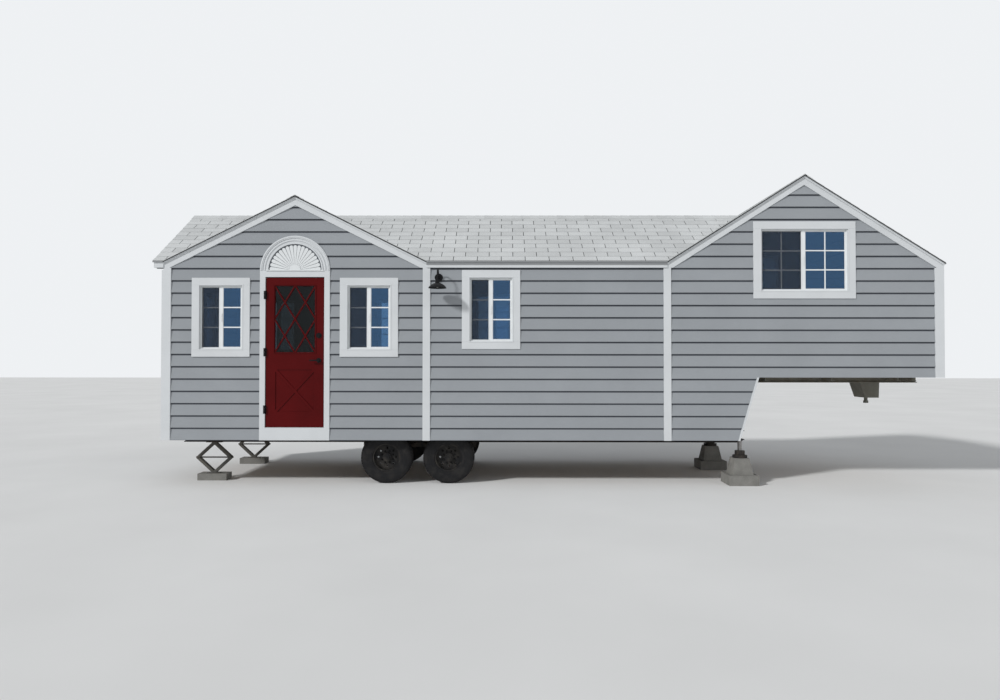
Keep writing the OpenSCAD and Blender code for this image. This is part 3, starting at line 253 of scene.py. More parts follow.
def srgb(r, g, b):
    """A colour given as 0 to 255 values on the screen, made linear."""
    return tuple(
        c / 255 / 12.92 if c <= 10 else ((c / 255 + 0.055) / 1.055) ** 2.4 for c in (r, g, b)
    )


BLACK, WHITE = (0, 0, 0), (1, 1, 1)
TRIM_WHITE = (208, 211, 213)
LINING_COURSE = 0.133


def along_wall(p, fine, across):
    """Coordinates that run along any upright wall: x and y together, then z."""
    along = p.node("ShaderNodeVectorMath", {0: p.place, 1: (1, 1, 0)}, operation="DOT_PRODUCT")
    return p.node("ShaderNodeCombineXYZ", {
        0: p.math("MULTIPLY", along.outputs["Value"], fine),
        2: p.math("MULTIPLY", p.axes()["Z"], across),
    }).outputs[0]


def siding_paint():
    """Grey paint on rough boards, with a painted shadow line at the top of each course, under the next
    board's butt.
    """
    p = Paint("siding_paint", rough=0.62)
    grey = srgb(148, 152, 156)
    tone = p.shades(p.noise(1.7, 4), grey, 0.9, 1.07)
    tone = p.blend(p.math("MULTIPLY", p.island(), 0.3), tone, shade(grey, 0.86))
    grain = p.noise(9, 6, 0.62, along_wall(p, 1.6, 26), 0.8)
    fine = p.noise(60, 3, 0.6, along_wall(p, 0.8, 14))
    streaks = p.shades(grain, grey, 0.93, 1.04, 0.35, 0.62)
    above = p.math("SUBTRACT", p.axes()["Z"], SKIRT_Z + FIRST_COURSE)
    course = p.math("FRACT", p.math("DIVIDE", above, COURSE))
    # Painted shadow: each course turns dark at its top, where the board above would cast its shadow; it
    # is also a little darker along its lower edge.
    painted_lap_shadow = p.ramp(course, [
        (0.0, (0.9, 0.9, 0.9)), (0.05, WHITE), (0.85, WHITE), (0.885, (0.2, 0.21, 0.24))])
    p.colour(p.blend(1.0, p.blend(0.45, tone, streaks), painted_lap_shadow, "MULTIPLY"))
    p.roughness(fine, 0.5, 0.72)
    p.bump(grain, 0.0016, 0.55)
    p.bump(fine, 0.0006, 0.4)
    return p.mat


def trim_paint(name="trim_paint", tone=TRIM_WHITE, rough=0.45):
    p = Paint(name, rough=rough)
    base = srgb(*tone)
    stain = p.noise(2.3, 5)
    brush = p.noise(14, 4, 0.6, along_wall(p, 3, 9))
    p.colour(p.blend(0.35, p.shades(stain, base, 0.9, 1, 0.25, 0.6), p.shades(brush, base, 0.94, 1.03)))
    p.roughness(brush, rough - 0.08, rough + 0.12)
    p.bump(brush, 0.0008, 0.35)
    return p.mat


def shingle_granules(name="shingle_granules", grey=(202, 204, 204), spread=0.15):
    p = Paint(name, rough=0.95, Specular_IOR_Level=0.2)
    base = srgb(*grey)
    tab = p.ramp(p.island(), [
        (0.0, shade(base, 1 - spread)), (0.5, base), (1.0, shade(base, 1 + spread / 2))])
    speck = p.noise(330, 2, 0.7)
    grains = p.ramp(speck, [(0.36, shade(base, 0.5)), (0.5, base), (0.64, shade(base, 1.45))])
    stain = p.shades(p.noise(1.1, 5), WHITE, 0.86, 1, 0.3, 0.65)
    p.colour(p.blend(1.0, p.blend(0.42, tab, grains), stain, "MULTIPLY"))
    p.bump(speck, 0.0016, 0.8)
    p.bump(p.noise(38, 2), 0.002, 0.4)
    return p.mat


def vinyl():
    p = Paint("white_vinyl", rough=0.32, Specular_IOR_Level=0.5)
    p.colour(p.shades(p.noise(6, 5), srgb(228, 231, 232), 0.93, 1, 0.3, 0.6))
    p.roughness(p.noise(90, 3), 0.26, 0.42)
    p.bump(p.noise(40, 2), 0.0002, 0.3)
    return p.mat


def glazing(name, tint, sheen, rough, index):
    p = Paint(name, rough=rough, IOR=index, Transmission_Weight=1.0, Specular_Tint=sheen)
    p.colour(p.shades(p.noise(2.6, 4), tint, 0.9, 1))
    p.bump(p.noise(1.3, 1), 0.0006, 0.5)
    return p.mat


def door_paint():
    p = Paint("door_paint", rough=0.42, Specular_IOR_Level=0.1)
    red = (0.082, 0.0035, 0.004)
    cloud = p.noise(2.2, 4)
    grain = p.noise(20, 5, 0.6, p.stretched(8, 8, 1.1), 0.5)
    p.colour(p.blend(0.4, p.shades(cloud, red, 0.78, 1.15), p.shades(grain, red, 0.85, 1.1)))
    p.roughness(grain, 0.36, 0.5)
    p.bump(grain, 0.0009, 0.3)
    return p.mat


def painted_steel(name, base, rough, dust, dust_share, above=None):
    """Painted steel with dust on it; above gives a height and the paint from there up."""
    p = Paint(name, rough=rough, Specular_IOR_Level=0.15)
    share = p.math("MULTIPLY", p.mask(p.noise(7, 6, 0.65), 0.42, 0.66), dust_share)
    tone = p.blend(share, base, dust)
    if above:
        height, upper = above
        higher = p.math("GREATER_THAN", p.axes()["Z"], height)
        tone = p.blend(higher, tone, p.blend(share, upper, dust))
    p.colour(tone)
    p.roughness(p.noise(35, 4), rough - 0.1, rough + 0.2)
    p.bump(p.noise(160, 3), 0.0006, 0.4)
    return p.mat


def concrete():
    p = Paint("rough_concrete", rough=0.92, Specular_IOR_Level=0.2)
    base = (0.215, 0.211, 0.196)
    cloud = p.noise(9, 6)
    speck = p.noise(240, 3, 0.7)
    p.colour(p.blend(0.45, p.shades(cloud, base, 0.7, 1.2), p.shades(speck, base, 0.5, 1.3, 0.35, 0.6)))
    pores = p.node("ShaderNodeTexVoronoi", {"Scale": 85, "Vector": p.place})
    p.bump(p.mask(pores.outputs["Distance"], 0.08, 0.3), 0.003, 0.6)
    p.bump(speck, 0.0015, 0.6)
    return p.mat


def rubber():
    p = Paint("tyre_rubber", rough=0.72, Specular_IOR_Level=0.2)
    dust = p.math("MULTIPLY", p.mask(p.noise(10, 6, 0.7), 0.45, 0.7), 0.25)
    p.colour(p.blend(dust, (0.014, 0.014, 0.015), (0.07, 0.064, 0.056)))
    p.roughness(p.noise(50, 3), 0.6, 0.85)
    p.bump(p.noise(300, 2), 0.0006, 0.5)
    return p.mat


def boards_inside():
    """The lining: narrow grooved pine boards, painted white where they run out past the rear wall."""
    p = Paint("pine_lining", rough=0.6)
    axes = p.axes()
    course = p.math("FRACT", p.math("MULTIPLY", axes["Z"], 1 / LINING_COURSE))
    groove = p.ramp(course, [(0.0, BLACK), (0.05, WHITE), (0.95, WHITE), (1.0, BLACK)])
    grain = p.noise(12, 6, 0.6, along_wall(p, 1.2, 16), 1.2)
    tone = p.shades(grain, (0.42, 0.27, 0.145), 0.72, 1.15)
    tone = p.blend(p.math("LESS_THAN", axes["X"], OFFSET.x), tone, srgb(*TRIM_WHITE))
    p.colour(p.blend(1.0, tone, p.blend(0.6, WHITE, groove), "MULTIPLY"))
    p.bump(groove, 0.004, 0.8)
    p.bump(grain, 0.0008, 0.3)
    return p.mat


def plywood():
    p = Paint("plywood", rough=0.75)
    grain = p.noise(7, 6, 0.6, p.stretched(0.9, 14, 14), 1.0)
    p.colour(p.shades(grain, (0.4, 0.27, 0.15), 0.7, 1.15))
    p.bump(grain, 0.0008, 0.4)
    return p.mat


def screen_mesh():
    """Insect screen: fine dark wires, mostly open."""
    p = Paint("screen_wires", rough=0.6)
    p.colour(p.ramp(p.noise(700, 1), [(0.4, (0.014, 0.022, 0.034)), (0.6, (0.03, 0.041, 0.06))]))
    clear = p.node("ShaderNodeBsdfTransparent")
    mixed = p.node("ShaderNodeMixShader", {"Fac": 0.42, 1: clear.outputs[0], 2: p.shader.outputs[0]})
    p.put(p.tree.nodes["Material Output"].inputs["Surface"], mixed.outputs[0])
    return p.mat


def brushed_metal(name, base, rough):
    p = Paint(name, rough=rough, metallic=1.0)
    lines = p.noise(40, 4, 0.6, p.stretched(1, 30, 30))
    p.colour(p.shades(lines, base, 0.85, 1))
    p.roughness(lines, rough - 0.06, rough + 0.1)
    p.bump(lines, 0.0002, 0.4)
    return p.mat


def bulb_glass():
    """Frosted glass, unlit, coloured dim grey as painted shade inside the lamp's shade."""
    p = Paint("frosted_bulb", rough=0.35)
    # Painted shade: the glass is given a dim grey instead of its own white.
    p.colour(p.ramp(p.noise(20, 2), [(0.3, (0.17, 0.165, 0.15)), (0.7, (0.22, 0.21, 0.19))]))
    return p.mat


# The frame under the gooseneck is grey from a little below the pin box's top
GREY_PRIMER, PRIMER_DUST, PRIMER_DOWN = (0.2, 0.198, 0.172), (0.13, 0.115, 0.09), 0.03
PRIMER_FROM_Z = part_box("pin_box")[1].z - PRIMER_DOWN

SIDING = siding_paint()
TRIM = trim_paint()
FAN_WHITE = trim_paint("fan_white", (222, 225, 226), 0.4)
# Painted shade: a darker white for the back of the fan's recesses, between its rays.
FAN_PAINTED_SHADE = trim_paint("fan_recess_painted_shade", (108, 112, 118), 0.6)
DRIP_METAL = trim_paint("drip_metal", (143, 145, 147), 0.45)
SHINGLES = shingle_granules()
UNDERLAY = shingle_granules("shingle_underlay", (62, 63, 64), 0.1)
VINYL = vinyl()
# Painted reflection: the window panes and their reflections are tinted blue to stand in for a reflected
# sky.
GLASS = glazing("window_glass", (0.2, 0.33, 0.5), (0.31, 0.59, 1.0), 0.0, 2.1)
# Painted reflection: the door's panes are tinted dark and their reflections dimmed to stand in for dark
# surroundings reflected in them.
DOOR_GLASS = glazing("door_glass", (0.1, 0.11, 0.105), (0.2, 0.22, 0.23), 0.03, 1.8)
DOOR_RED = door_paint()
HARDWARE = painted_steel("black_hardware", (0.006, 0.006, 0.007), 0.4, (0.04, 0.038, 0.036), 0.2)
CHASSIS = painted_steel("chassis_paint", (0.02, 0.02, 0.021), 0.55, (0.12, 0.095, 0.07), 0.5,
                        above=(PRIMER_FROM_Z, GREY_PRIMER))
PIN_BOX_PAINT = painted_steel("pin_box_primer", GREY_PRIMER, 0.55, PRIMER_DUST, 0.45)
JACK_STEEL = painted_steel("worn_jack_steel", (0.1, 0.098, 0.09), 0.5, PRIMER_DUST, 0.45)
RIM = painted_steel("rim_paint", (0.014, 0.014, 0.015), 0.4, (0.1, 0.088, 0.072), 0.35)
CONCRETE = concrete()
RUBBER = rubber()
PINE = boards_inside()
PLYWOOD = plywood()
SCREEN = screen_mesh()
STEEL = brushed_metal("bare_steel", (0.42, 0.41, 0.4), 0.38)
ALUMINIUM = brushed_metal("brushed_aluminium", (0.62, 0.62, 0.61), 0.34)
BULB = bulb_glass()

SLOT_FINISH = dict(
    trim=TRIM, vinyl=VINYL, glass=GLASS, shingles=SHINGLES, door_paint=DOOR_RED, hardware=HARDWARE,
    plywood=PLYWOOD, chassis=CHASSIS, concrete=CONCRETE, rim=RIM, rubber=RUBBER,
)


# Mesh helpers

# The least area that is kept, the least distance between corners, and the least softened angle
SLIVER, SAME_POINT, CREASE = 2e-5, 1e-5, math.radians(40)


def mesh_of(name, bm, finish):
    mesh = bpy.data.meshes.new(name)
    bm.to_mesh(mesh)
    bm.free()
    mesh.materials.append(finish)
    return mesh


def finish_piece(name, bm, finish, body="house", bevel=0.0, smooth=False):
    """The mesh becomes one object that rides on a body."""
    bmesh.ops.recalc_face_normals(bm, faces=bm.faces)
    made = add(name, mesh_of(name, bm, finish))
    made.location = OFFSET
    if smooth:
        for face in made.data.polygons:
            face.use_smooth = True
    if bevel:
        soften(made, bevel)
    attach(made, body)
    return made


def soften(made, width):
    soft = made.modifiers.new("soft_edges", "BEVEL")
    soft.width = width
    soft.limit_method = "ANGLE"
    soft.angle_limit = CREASE


def edges(poly):
    """Each corner with the next one, all the way round."""
    return zip(poly, poly[1:] + poly[:1])


def slab(bm, corners, top, bottom):
    """A closed solid over a polygon: top and bottom turn its corners into points."""
    high = [bm.verts.new(top(u, v)) for u, v in corners]
    low = [bm.verts.new(bottom(u, v)) for u, v in corners]
    bm.faces.new(high)
    bm.faces.new(low[::-1])
    for (a, b), (c, d) in zip(edges(low), edges(high)):
        bm.faces.new((a, b, d, c))


def block(bm, x0, x1, y0, y1, z0, z1, place=Matrix.Identity(4)):
    corners = [(x0, y0), (x1, y0), (x1, y1), (x0, y1)]
    slab(bm, corners, lambda u, v: place @ Vector((u, v, z1)), lambda u, v: place @ Vector((u, v, z0)))


def lathe(bm, profile, place, steps):
    """A profile of (radius, height) pairs turned round the local z axis; it closes on the axis."""
    rings = []
    for radius, height in profile:
        if radius == 0:
            rings.append([bm.verts.new(place @ Vector((0, 0, height)))])
        else:
            rings.append([
                bm.verts.new(place @ Vector((radius * math.cos(a), radius * math.sin(a), height)))
                for a in (2 * math.pi * i / steps for i in range(steps))
            ])
    for a, b in zip(rings, rings[1:]):
        for i in range(steps):
            j = (i + 1) % steps
            if len(a) == 1 and len(b) == 1:
                continue
            if len(a) == 1:
                bm.faces.new((a[0], b[j], b[i]))
            elif len(b) == 1:
                bm.faces.new((a[i], a[j], b[0]))
            else:
                bm.faces.new((a[i], a[j], b[j], b[i]))


def signed_area(poly):
    return sum(a[0] * b[1] - b[0] * a[1] for a, b in edges(poly)) / 2


def area(poly):
    return abs(signed_area(poly)) if len(poly) > 2 else 0.0


def clip(poly, side):
    """The part of a convex polygon where nx * u + ny * v <= d."""
    nx, ny, d = side
    kept = []
    for a, b in edges(poly):
        da, db = nx * a[0] + ny * a[1] - d, nx * b[0] + ny * b[1] - d
        if da <= 0:
            kept.append(a)
        if da * db < 0:
            t = da / (da - db)
            kept.append((a[0] + (b[0] - a[0]) * t, a[1] + (b[1] - a[1]) * t))
    return kept


def inside(poly, sides):
    for side in sides:
        poly = clip(poly, side) if poly else poly
    return poly


def without(polys, sides):
    """Convex polygons less a convex hole."""
    kept = []
    for poly in polys:
        if area(inside(poly, sides)) < SLIVER:
            kept.append(poly)
            continue
        rest = poly
        for nx, ny, d in sides:
            piece = clip(rest, (-nx, -ny, -d))
            if area(piece) > SLIVER:
                kept.append(piece)
            rest = clip(rest, (nx, ny, d))
    return kept


def rectangle(u0, u1, v0, v1):
    """The four half-planes of a box."""
    return [(-1, 0, -u0), (1, 0, u1), (0, -1, -v0), (0, 1, v1)]


def tidy(poly):
    """The polygon without corners that fall together."""
    kept = []
    for p in poly:
        if not kept or math.dist(p, kept[-1]) > SAME_POINT:
            kept.append(p)
    if len(kept) > 1 and math.dist(kept[0], kept[-1]) <= SAME_POINT:
        kept.pop()
    return kept


# Lap siding

BUTT, HEAD = 0.0205, 0.004
BAND_START, BAND_END = -2, 12
TUCK, RAKE_TUCK, ROOF_GAP = 0.01, 0.02, 0.002
UNDER_RAKE = RAKE_H + SKIN_T - RAKE_TUCK
ARCH_STEPS = 14

LONG_WALL_WINDOWS = [
    (ENTRY_MID - ENTRY_WINDOW_DX, ENTRY_WINDOW_Z, *WINDOW),
    (ENTRY_MID + ENTRY_WINDOW_DX, ENTRY_WINDOW_Z, *WINDOW),
    (MIDDLE_X + MIDDLE_WINDOW_DX, MIDDLE_WINDOW_Z, *WINDOW),
    (LOFT_MID, LOFT_WINDOW_Z, *LOFT_WINDOW),
]


def courses(top):
    """Lower and upper edge of each course of boards."""
    low, high = SKIRT_Z, SKIRT_Z + FIRST_COURSE
    while low < top:
        yield low, high
        low, high = high, high + COURSE


def siding(name, start, along, out, outline, holes, top):
    """Lap boards over a wall. Outline and holes are convex sets of half-planes in (along, z)."""
    bm = bmesh.new()
    for low, high in courses(top):
        band = [(BAND_START, low), (BAND_END, low), (BAND_END, high), (BAND_START, high)]
        strips = [inside(band, sides) for sides in outline]
        strips = [strip for strip in strips if area(strip) > SLIVER]
        for hole in holes:
            strips = without(strips, hole)
        for strip in map(tidy, strips):
            if len(strip) < 3:
                continue

            def face(u, v):
                lean = BUTT + (HEAD - BUTT) * (v - low) / (high - low)
                return start + along * u + Z_UP * v + out * lean

            slab(bm, strip, face, lambda u, v: start + along * u + Z_UP * v)
    finish_piece(name, bm, SIDING)


def casing_hole(u, z, w, h):
    """What a window and its casing take from the wall."""
    return rectangle(
        u - w / 2 - CASING_W, u + w / 2 + CASING_W,
        z - h / 2 - CASING_W, z + h / 2 + CASING_W,
    )


def gable_sides(x_mid, half_span, pitch):
    """Below both slopes of a gable, a little way in under its rake boards."""
    run, rise = math.cos(pitch), math.sin(pitch)
    foot = EAVE_Z * run - UNDER_RAKE
    return [
        (-rise, run, foot - rise * (x_mid - half_span)),
        (rise, run, foot + rise * (x_mid + half_span)),
    ]


def long_wall_outline():
    """The entry, the middle, the loft as far as the kick, and the loft over the gooseneck."""
    entry = [(-1, 0, -BOARD_W), (1, 0, MIDDLE_X - BOARD_W / 2),
             *gable_sides(ENTRY_MID, ENTRY_LEN / 2, ENTRY_PITCH)]
    middle = rectangle(MIDDLE_X + BOARD_W / 2, LOFT_X - BOARD_W / 2, SKIRT_Z, FASCIA_LOW + TUCK)
    gable = gable_sides(LOFT_MID, LOFT_LEN / 2, LOFT_PITCH)
    split = KICK_TOP_X - EDGE_W
    lean = math.tan(KICK_LEAN)
    upright_part = [(-1, 0, -(LOFT_X + BOARD_W / 2)), (1, 0, split), *gable,
                    (1, -lean, split - RAISED_Z * lean)]
    over_nose = [(-1, 0, -split), (1, 0, TOTAL - BOARD_W), (0, -1, -RAISED_Z), *gable]
    return [entry, middle, upright_part, over_nose]


def arch_hole():
    """The half round over the door, as a convex set of half-planes."""
    radius = SURROUND_HALF - TUCK
    sides = [(0, -1, -HEAD_TOP)]
    for i in range(ARCH_STEPS):
        a = math.pi * (i + 0.5) / ARCH_STEPS
        c, s = math.cos(a), math.sin(a)
        sides.append((c, s, radius + c * ENTRY_MID + s * HEAD_TOP))
    return sides


def make_siding():
    """The two long walls, the rear end wall and the nose wall."""
    holes = [casing_hole(*w) for w in LONG_WALL_WINDOWS]
    door = rectangle(ENTRY_MID - SURROUND_HALF, ENTRY_MID + SURROUND_HALF, 0, HEAD_TOP)
    peak = EAVE_Z + LOFT_LEN / 2 * math.tan(LOFT_PITCH)
    siding("siding_front", Vector((0, -HALF_W, 0)), X_AXIS, -Y_AXIS, long_wall_outline(),
           [*holes, door, arch_hole()], peak)
    siding("siding_back", Vector((0, HALF_W, 0)), X_AXIS, Y_AXIS, long_wall_outline(), holes, peak)
    reach = HALF_W + BOARD_T - BOARD_W
    rise, run = math.sin(MAIN_PITCH), math.cos(MAIN_PITCH)
    foot = run * EAVE_Z + rise * OVER_Y - ROOF_T - ROOF_GAP
    rear = [(-1, 0, reach), (1, 0, reach), (-rise, run, foot), (rise, run, foot)]
    siding("siding_rear_end", Vector(), Y_AXIS, -X_AXIS, [rear],
           [casing_hole(0, ENTRY_WINDOW_Z, *WINDOW)], main_z(0))
    nose = rectangle(-reach, reach, RAISED_Z, FASCIA_LOW + TUCK)
    siding("siding_nose", Vector((TOTAL, 0, 0)), Y_AXIS, X_AXIS, [nose], [], FASCIA_LOW)


make_siding()


# Shingles

EXPOSURE, TAB_W, SLOT_W = 0.137, 0.323, 0.009
TAB_BUTT, TAB_HEAD, TAB_UNDER, EAVE_SETBACK = 0.0078, 0.0022, 0.0004, 0.006
TAB_LAP, LEAST_TAB = 0.001, 1e-4
START_PLAY, LIFT_PLAY, SLIP_PLAY = 0.006, 0.0005, 0.0012
CAP_W, CAP_BUTT, CAP_HEAD, CAP_UNDER = 0.122, 0.0118, 0.0092, 0.0008
CAP_PLAY = (-0.0003, 0.0001)


def slope_sides(corners):
    """The half-planes of a slope's own edges, with the shingles set back a little at the eave."""
    sides = [(0, -1, -EAVE_SETBACK)]
    for a, b in edges(corners):
        nx, ny = b[1] - a[1], a[0] - b[0]
        size = math.hypot(nx, ny)
        sides.append((nx / size, ny / size, (nx * a[0] + ny * a[1]) / size))
    return sides


def shingle_slope(bm, eave, along, up, corners):
    """Tabs over one slope. The eave point is (0, 0) and corners are (along, up) in the slope."""
    normal = along.cross(up).normalized()
    if normal.z < 0:
        normal = -normal
    if signed_area(corners) < 0:
        corners = corners[::-1]
    sides = slope_sides(corners)
    u_low, u_high = min(c[0] for c in corners), max(c[0] for c in corners)
    v_high = max(c[1] for c in corners)
    for k in range(math.ceil(v_high / EXPOSURE)):
        low, high = k * EXPOSURE, (k + 1) * EXPOSURE
        u = u_low - TAB_W * (1.0 if k % 2 else 0.5) - rng.uniform(0, START_PLAY)
        while u < u_high:
            lift = rng.uniform(-LIFT_PLAY, LIFT_PLAY)
            foot, top = low + rng.uniform(-SLIP_PLAY, SLIP_PLAY), high + TAB_LAP
            a, b = u + SLOT_W / 2, u + TAB_W - SLOT_W / 2
            tab = tidy(inside([(a, foot), (b, foot), (b, top), (a, top)], sides))
            u += TAB_W
            if len(tab) < 3 or area(tab) < LEAST_TAB:
                continue

            def face(s, t):
                rise = TAB_BUTT + lift + (TAB_HEAD - TAB_BUTT) * (t - low) / EXPOSURE
                return eave + along * s + up * t + normal * rise

            slab(bm, tab, face, lambda s, t: eave + along * s + up * t + normal * TAB_UNDER)


def shingle_main_roof():
    """Front and back slope, each in two parts that end at the valleys of the gables' roofs."""
    ridge_run = OVER_Y / math.cos(MAIN_PITCH)
    for side, name in ((-1, "front"), (1, "back")):
        bm = bmesh.new()
        eave = Vector((0, side * OVER_Y, EAVE_Z))
        up = Vector((0, -side * math.cos(MAIN_PITCH), math.sin(MAIN_PITCH)))
        shingle_slope(bm, eave, X_AXIS, up, [
            (-RAKE_OVER, 0), (0, 0), (PEAK_IN_ENTRY, ridge_run), (-RAKE_OVER, ridge_run)])
        shingle_slope(bm, eave, X_AXIS, up, [
            (MIDDLE_X, 0), (LOFT_X, 0), (LOFT_X + PEAK_IN_LOFT, ridge_run),
            (MIDDLE_X - PEAK_IN_ENTRY, ridge_run)])
        finish_piece(f"shingles_main_{name}", bm, SHINGLES)


def shingle_gables():
    """Slopes that end at their valleys, and the whole slope over the nose."""
    for label, x_mid, half_span, pitch, peak in GABLES:
        run = math.cos(pitch)
        top = half_span / run
        for turn, name in ((1, "rear_slope"), (-1, "nose_slope")):
            bm = bmesh.new()
            eave = Vector((x_mid - turn * half_span, 0, EAVE_Z))
            up = Vector((turn * run, 0, math.sin(pitch)))
            if label == "loft" and turn < 0:
                past = NOSE_REACH / run
                shingle_slope(bm, eave - up * past, Y_AXIS, up, [
                    (-OVER_Y, 0), (OVER_Y, 0), (OVER_Y, top + past), (-OVER_Y, top + past)])
            else:
                for side in (-1, 1):
                    shingle_slope(bm, eave, Y_AXIS, up, [
                        (side * OVER_Y, 0), (side * OVER_Y, top), (0, top), (0, peak / run)])
            finish_piece(f"shingles_{label}_{name}", bm, SHINGLES)


def ridge_cap(bm, start, end, side, pitch):
    """Cap shingles bent over a ridge, laid from start towards end."""
    line = end - start
    step = line.normalized()
    wings = [Vector((*(side * s * math.cos(pitch)).xy, -math.sin(pitch))) for s in (-1, 1)]
    normals = [Vector((*(side * s * math.sin(pitch)).xy, math.cos(pitch))) for s in (-1, 1)]
    count = max(1, round(line.length / EXPOSURE))
    size = line.length / count
    for i in range(count):
        rows = []
        for at, lift in ((i * size, CAP_BUTT), ((i + 1) * size, CAP_HEAD)):
            base = start + step * at
            lift += rng.uniform(*CAP_PLAY)
            top, low = [], []
            for wing, normal in zip(wings, normals):
                top.append(base + wing * CAP_W + normal * lift)
                low.append(base + wing * CAP_W + normal * CAP_UNDER)
            crown = base + Z_UP * (lift / math.cos(pitch))
            under = base + Z_UP * (CAP_UNDER / math.cos(pitch))
            rows.append([bm.verts.new(p) for p in (top[0], crown, top[1], low[1], under, low[0])])
        for (a, b), (c, d) in zip(edges(rows[0]), edges(rows[1])):
            bm.faces.new((a, b, d, c))
        for row in rows:
            bm.faces.new((row[0], row[1], row[4], row[5]))
            bm.faces.new((row[1], row[2], row[3], row[4]))


def make_ridge_caps():
    """Caps over the main ridge, which the entry's roof breaks in two, and over both gables."""
    bm = bmesh.new()
    ridge_z = main_z(0)
    for x0, x1 in ((-RAKE_OVER, PEAK_IN_ENTRY), (MIDDLE_X - PEAK_IN_ENTRY, LOFT_X + PEAK_IN_LOFT)):
        ridge_cap(bm, Vector((x0, 0, ridge_z)), Vector((x1, 0, ridge_z)), Y_AXIS, MAIN_PITCH)
    for _, x_mid, half_span, pitch, _ in GABLES:
        top = EAVE_Z + half_span * math.tan(pitch)
        ridge_cap(bm, Vector((x_mid, -OVER_Y, top)), Vector((x_mid, OVER_Y, top)), X_AXIS, pitch)
    caps = finish_piece("ridge_cap_shingles", bm, SHINGLES)
    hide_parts("ridge_caps")


shingle_main_roof()
shingle_gables()
make_ridge_caps()


# Windows, each drawn round its own middle with the outside towards -y

CASING_GAP = 0.0003
BOARD_SOFT, LEAF_SOFT, LATCH_SOFT, SMALL_SOFT = 0.0018, 0.0016, 0.0015, 0.0012
OUTER_BEAD_LAP, OUTER_BEAD_W = 0.016, 0.014
OUTER_BEAD_Y = (-BOARD_T - 0.003, -BOARD_T + 0.004)
INNER_BEAD_SETBACK, INNER_BEAD_W, INNER_BEAD_Y = 0.002, 0.006, (-0.0130, -0.0095)
BAR_HALF, BAR_FRONT, BAR_BACK = 0.0085, 0.0035, 0.0078
STOP_W, STOP_FRONT = 0.006, 0.002
SCREEN_PLAY, SCREEN_BAR_W, SCREEN_Y = 0.002, 0.013, (0.010, 0.019)
WIRES_Y, WIRES_LAP = (0.0140, 0.0144), 0.004
LATCH_HALF_W, LATCH_HALF_H, LATCH_PROUD, LATCH_DZ = 0.009, 0.022, 0.007, 0.03
DRAIN_HALF_W, DRAIN_Y, DRAIN_UP, DRAIN_H = 0.022, (-0.0125, -0.0100), 0.003, 0.008


def window_places():
    """Width, height and place of every window."""
    for turn, y in ((0, -HALF_W), (math.pi, HALF_W)):
        for x, z, w, h in LONG_WALL_WINDOWS:
            yield w, h, moved(x, y, z) @ Matrix.Rotation(turn, 4, "Z")
    yield *WINDOW, moved(0, 0, ENTRY_WINDOW_Z) @ Matrix.Rotation(-math.pi / 2, 4, "Z")


def pane_half_height(h):
    return h / 2 - FRAME_W - SASH_W


def ring(bm, w, h, side, y0, y1, place, x=0.0):
    """Four bars with butt joints round an opening."""
    block(bm, x - w / 2, x - w / 2 + side, y0, y1, -h / 2 + side, h / 2 - side, place)
    block(bm, x + w / 2 - side, x + w / 2, y0, y1, -h / 2 + side, h / 2 - side, place)
    block(bm, x - w / 2, x + w / 2, y0, y1, h / 2 - side, h / 2, place)
    block(bm, x - w / 2, x + w / 2, y0, y1, -h / 2, -h / 2 + side, place)


def make_casings():
    """Casing boards with a bead outside on them and one on the window's frame."""
    boards, beads = bmesh.new(), bmesh.new()
    for w, h, place in window_places():
        for s in (-1, 1):
            x0, x1 = sorted((s * w / 2, s * (w / 2 + CASING_W)))
            block(boards, x0 + CASING_GAP, x1 - CASING_GAP, -BOARD_T, 0, -h / 2, h / 2, place)
            z0, z1 = sorted((s * h / 2, s * (h / 2 + CASING_W)))
            block(boards, -w / 2 - CASING_W, w / 2 + CASING_W, -BOARD_T, 0, z0, z1, place)
        ring(beads, w + OUTER_BEAD_LAP, h + OUTER_BEAD_LAP, OUTER_BEAD_W, *OUTER_BEAD_Y, place)
        ring(beads, w - INNER_BEAD_SETBACK, h - INNER_BEAD_SETBACK, INNER_BEAD_W, *INNER_BEAD_Y, place)
    made = finish_piece("window_casing_boards", boards, TRIM, bevel=BOARD_SOFT)
    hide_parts("window_casings")
    finish_piece("window_casing_beads", beads, TRIM, bevel=SMALL_SOFT)


def make_bars():
    """Bars and glass stops on both sashes; the right one stands in front."""
    bm = bmesh.new()
    for w, h, place in window_places():
        inner, outer = MEET_W / 2, w / 2 - FRAME_W - SASH_W
        centre, half, tall = (inner + outer) / 2, (outer - inner) / 2, pane_half_height(h)
        low, high = -tall / 3, tall / 3
        for s in (-1, 1):
            sash_y = SASH_SET + (0 if s > 0 else SASH_T + SASH_SPACE)
            x, y0, y1 = s * centre, sash_y + BAR_FRONT, sash_y + BAR_BACK
            for z in (low, high):
                block(bm, x - half, x + half, y0, y1, z - BAR_HALF, z + BAR_HALF, place)
            if (w, h) == LOFT_WINDOW:
                for z0, z1 in (
                    (-tall, low - BAR_HALF), (low + BAR_HALF, high - BAR_HALF), (high + BAR_HALF, tall),
                ):
                    block(bm, x - BAR_HALF, x + BAR_HALF, y0, y1, z0, z1, place)
            ring(bm, 2 * half, 2 * tall, STOP_W, sash_y + STOP_FRONT, y1, place, x)
    finish_piece("window_bars", bm, VINYL, bevel=SMALL_SOFT)


def make_screens():
    """The insect screen before the left sash: its frame and a sheet of wires."""
    frames, wires = bmesh.new(), bmesh.new()
    for w, h, place in window_places():
        low, high, tall = -w / 2 + FRAME_W, -MEET_W / 2, pane_half_height(h)
        ring(frames, high - low - SCREEN_PLAY, 2 * (tall + SASH_W) - SCREEN_PLAY, SCREEN_BAR_W,
             *SCREEN_Y, place, (low + high) / 2)
        block(wires, low + SCREEN_BAR_W, high - SCREEN_BAR_W, *WIRES_Y,
              -tall - WIRES_LAP, tall + WIRES_LAP, place)
    finish_piece("screen_frames", frames, VINYL, bevel=SMALL_SOFT)
    finish_piece("screen_wires", wires, SCREEN)


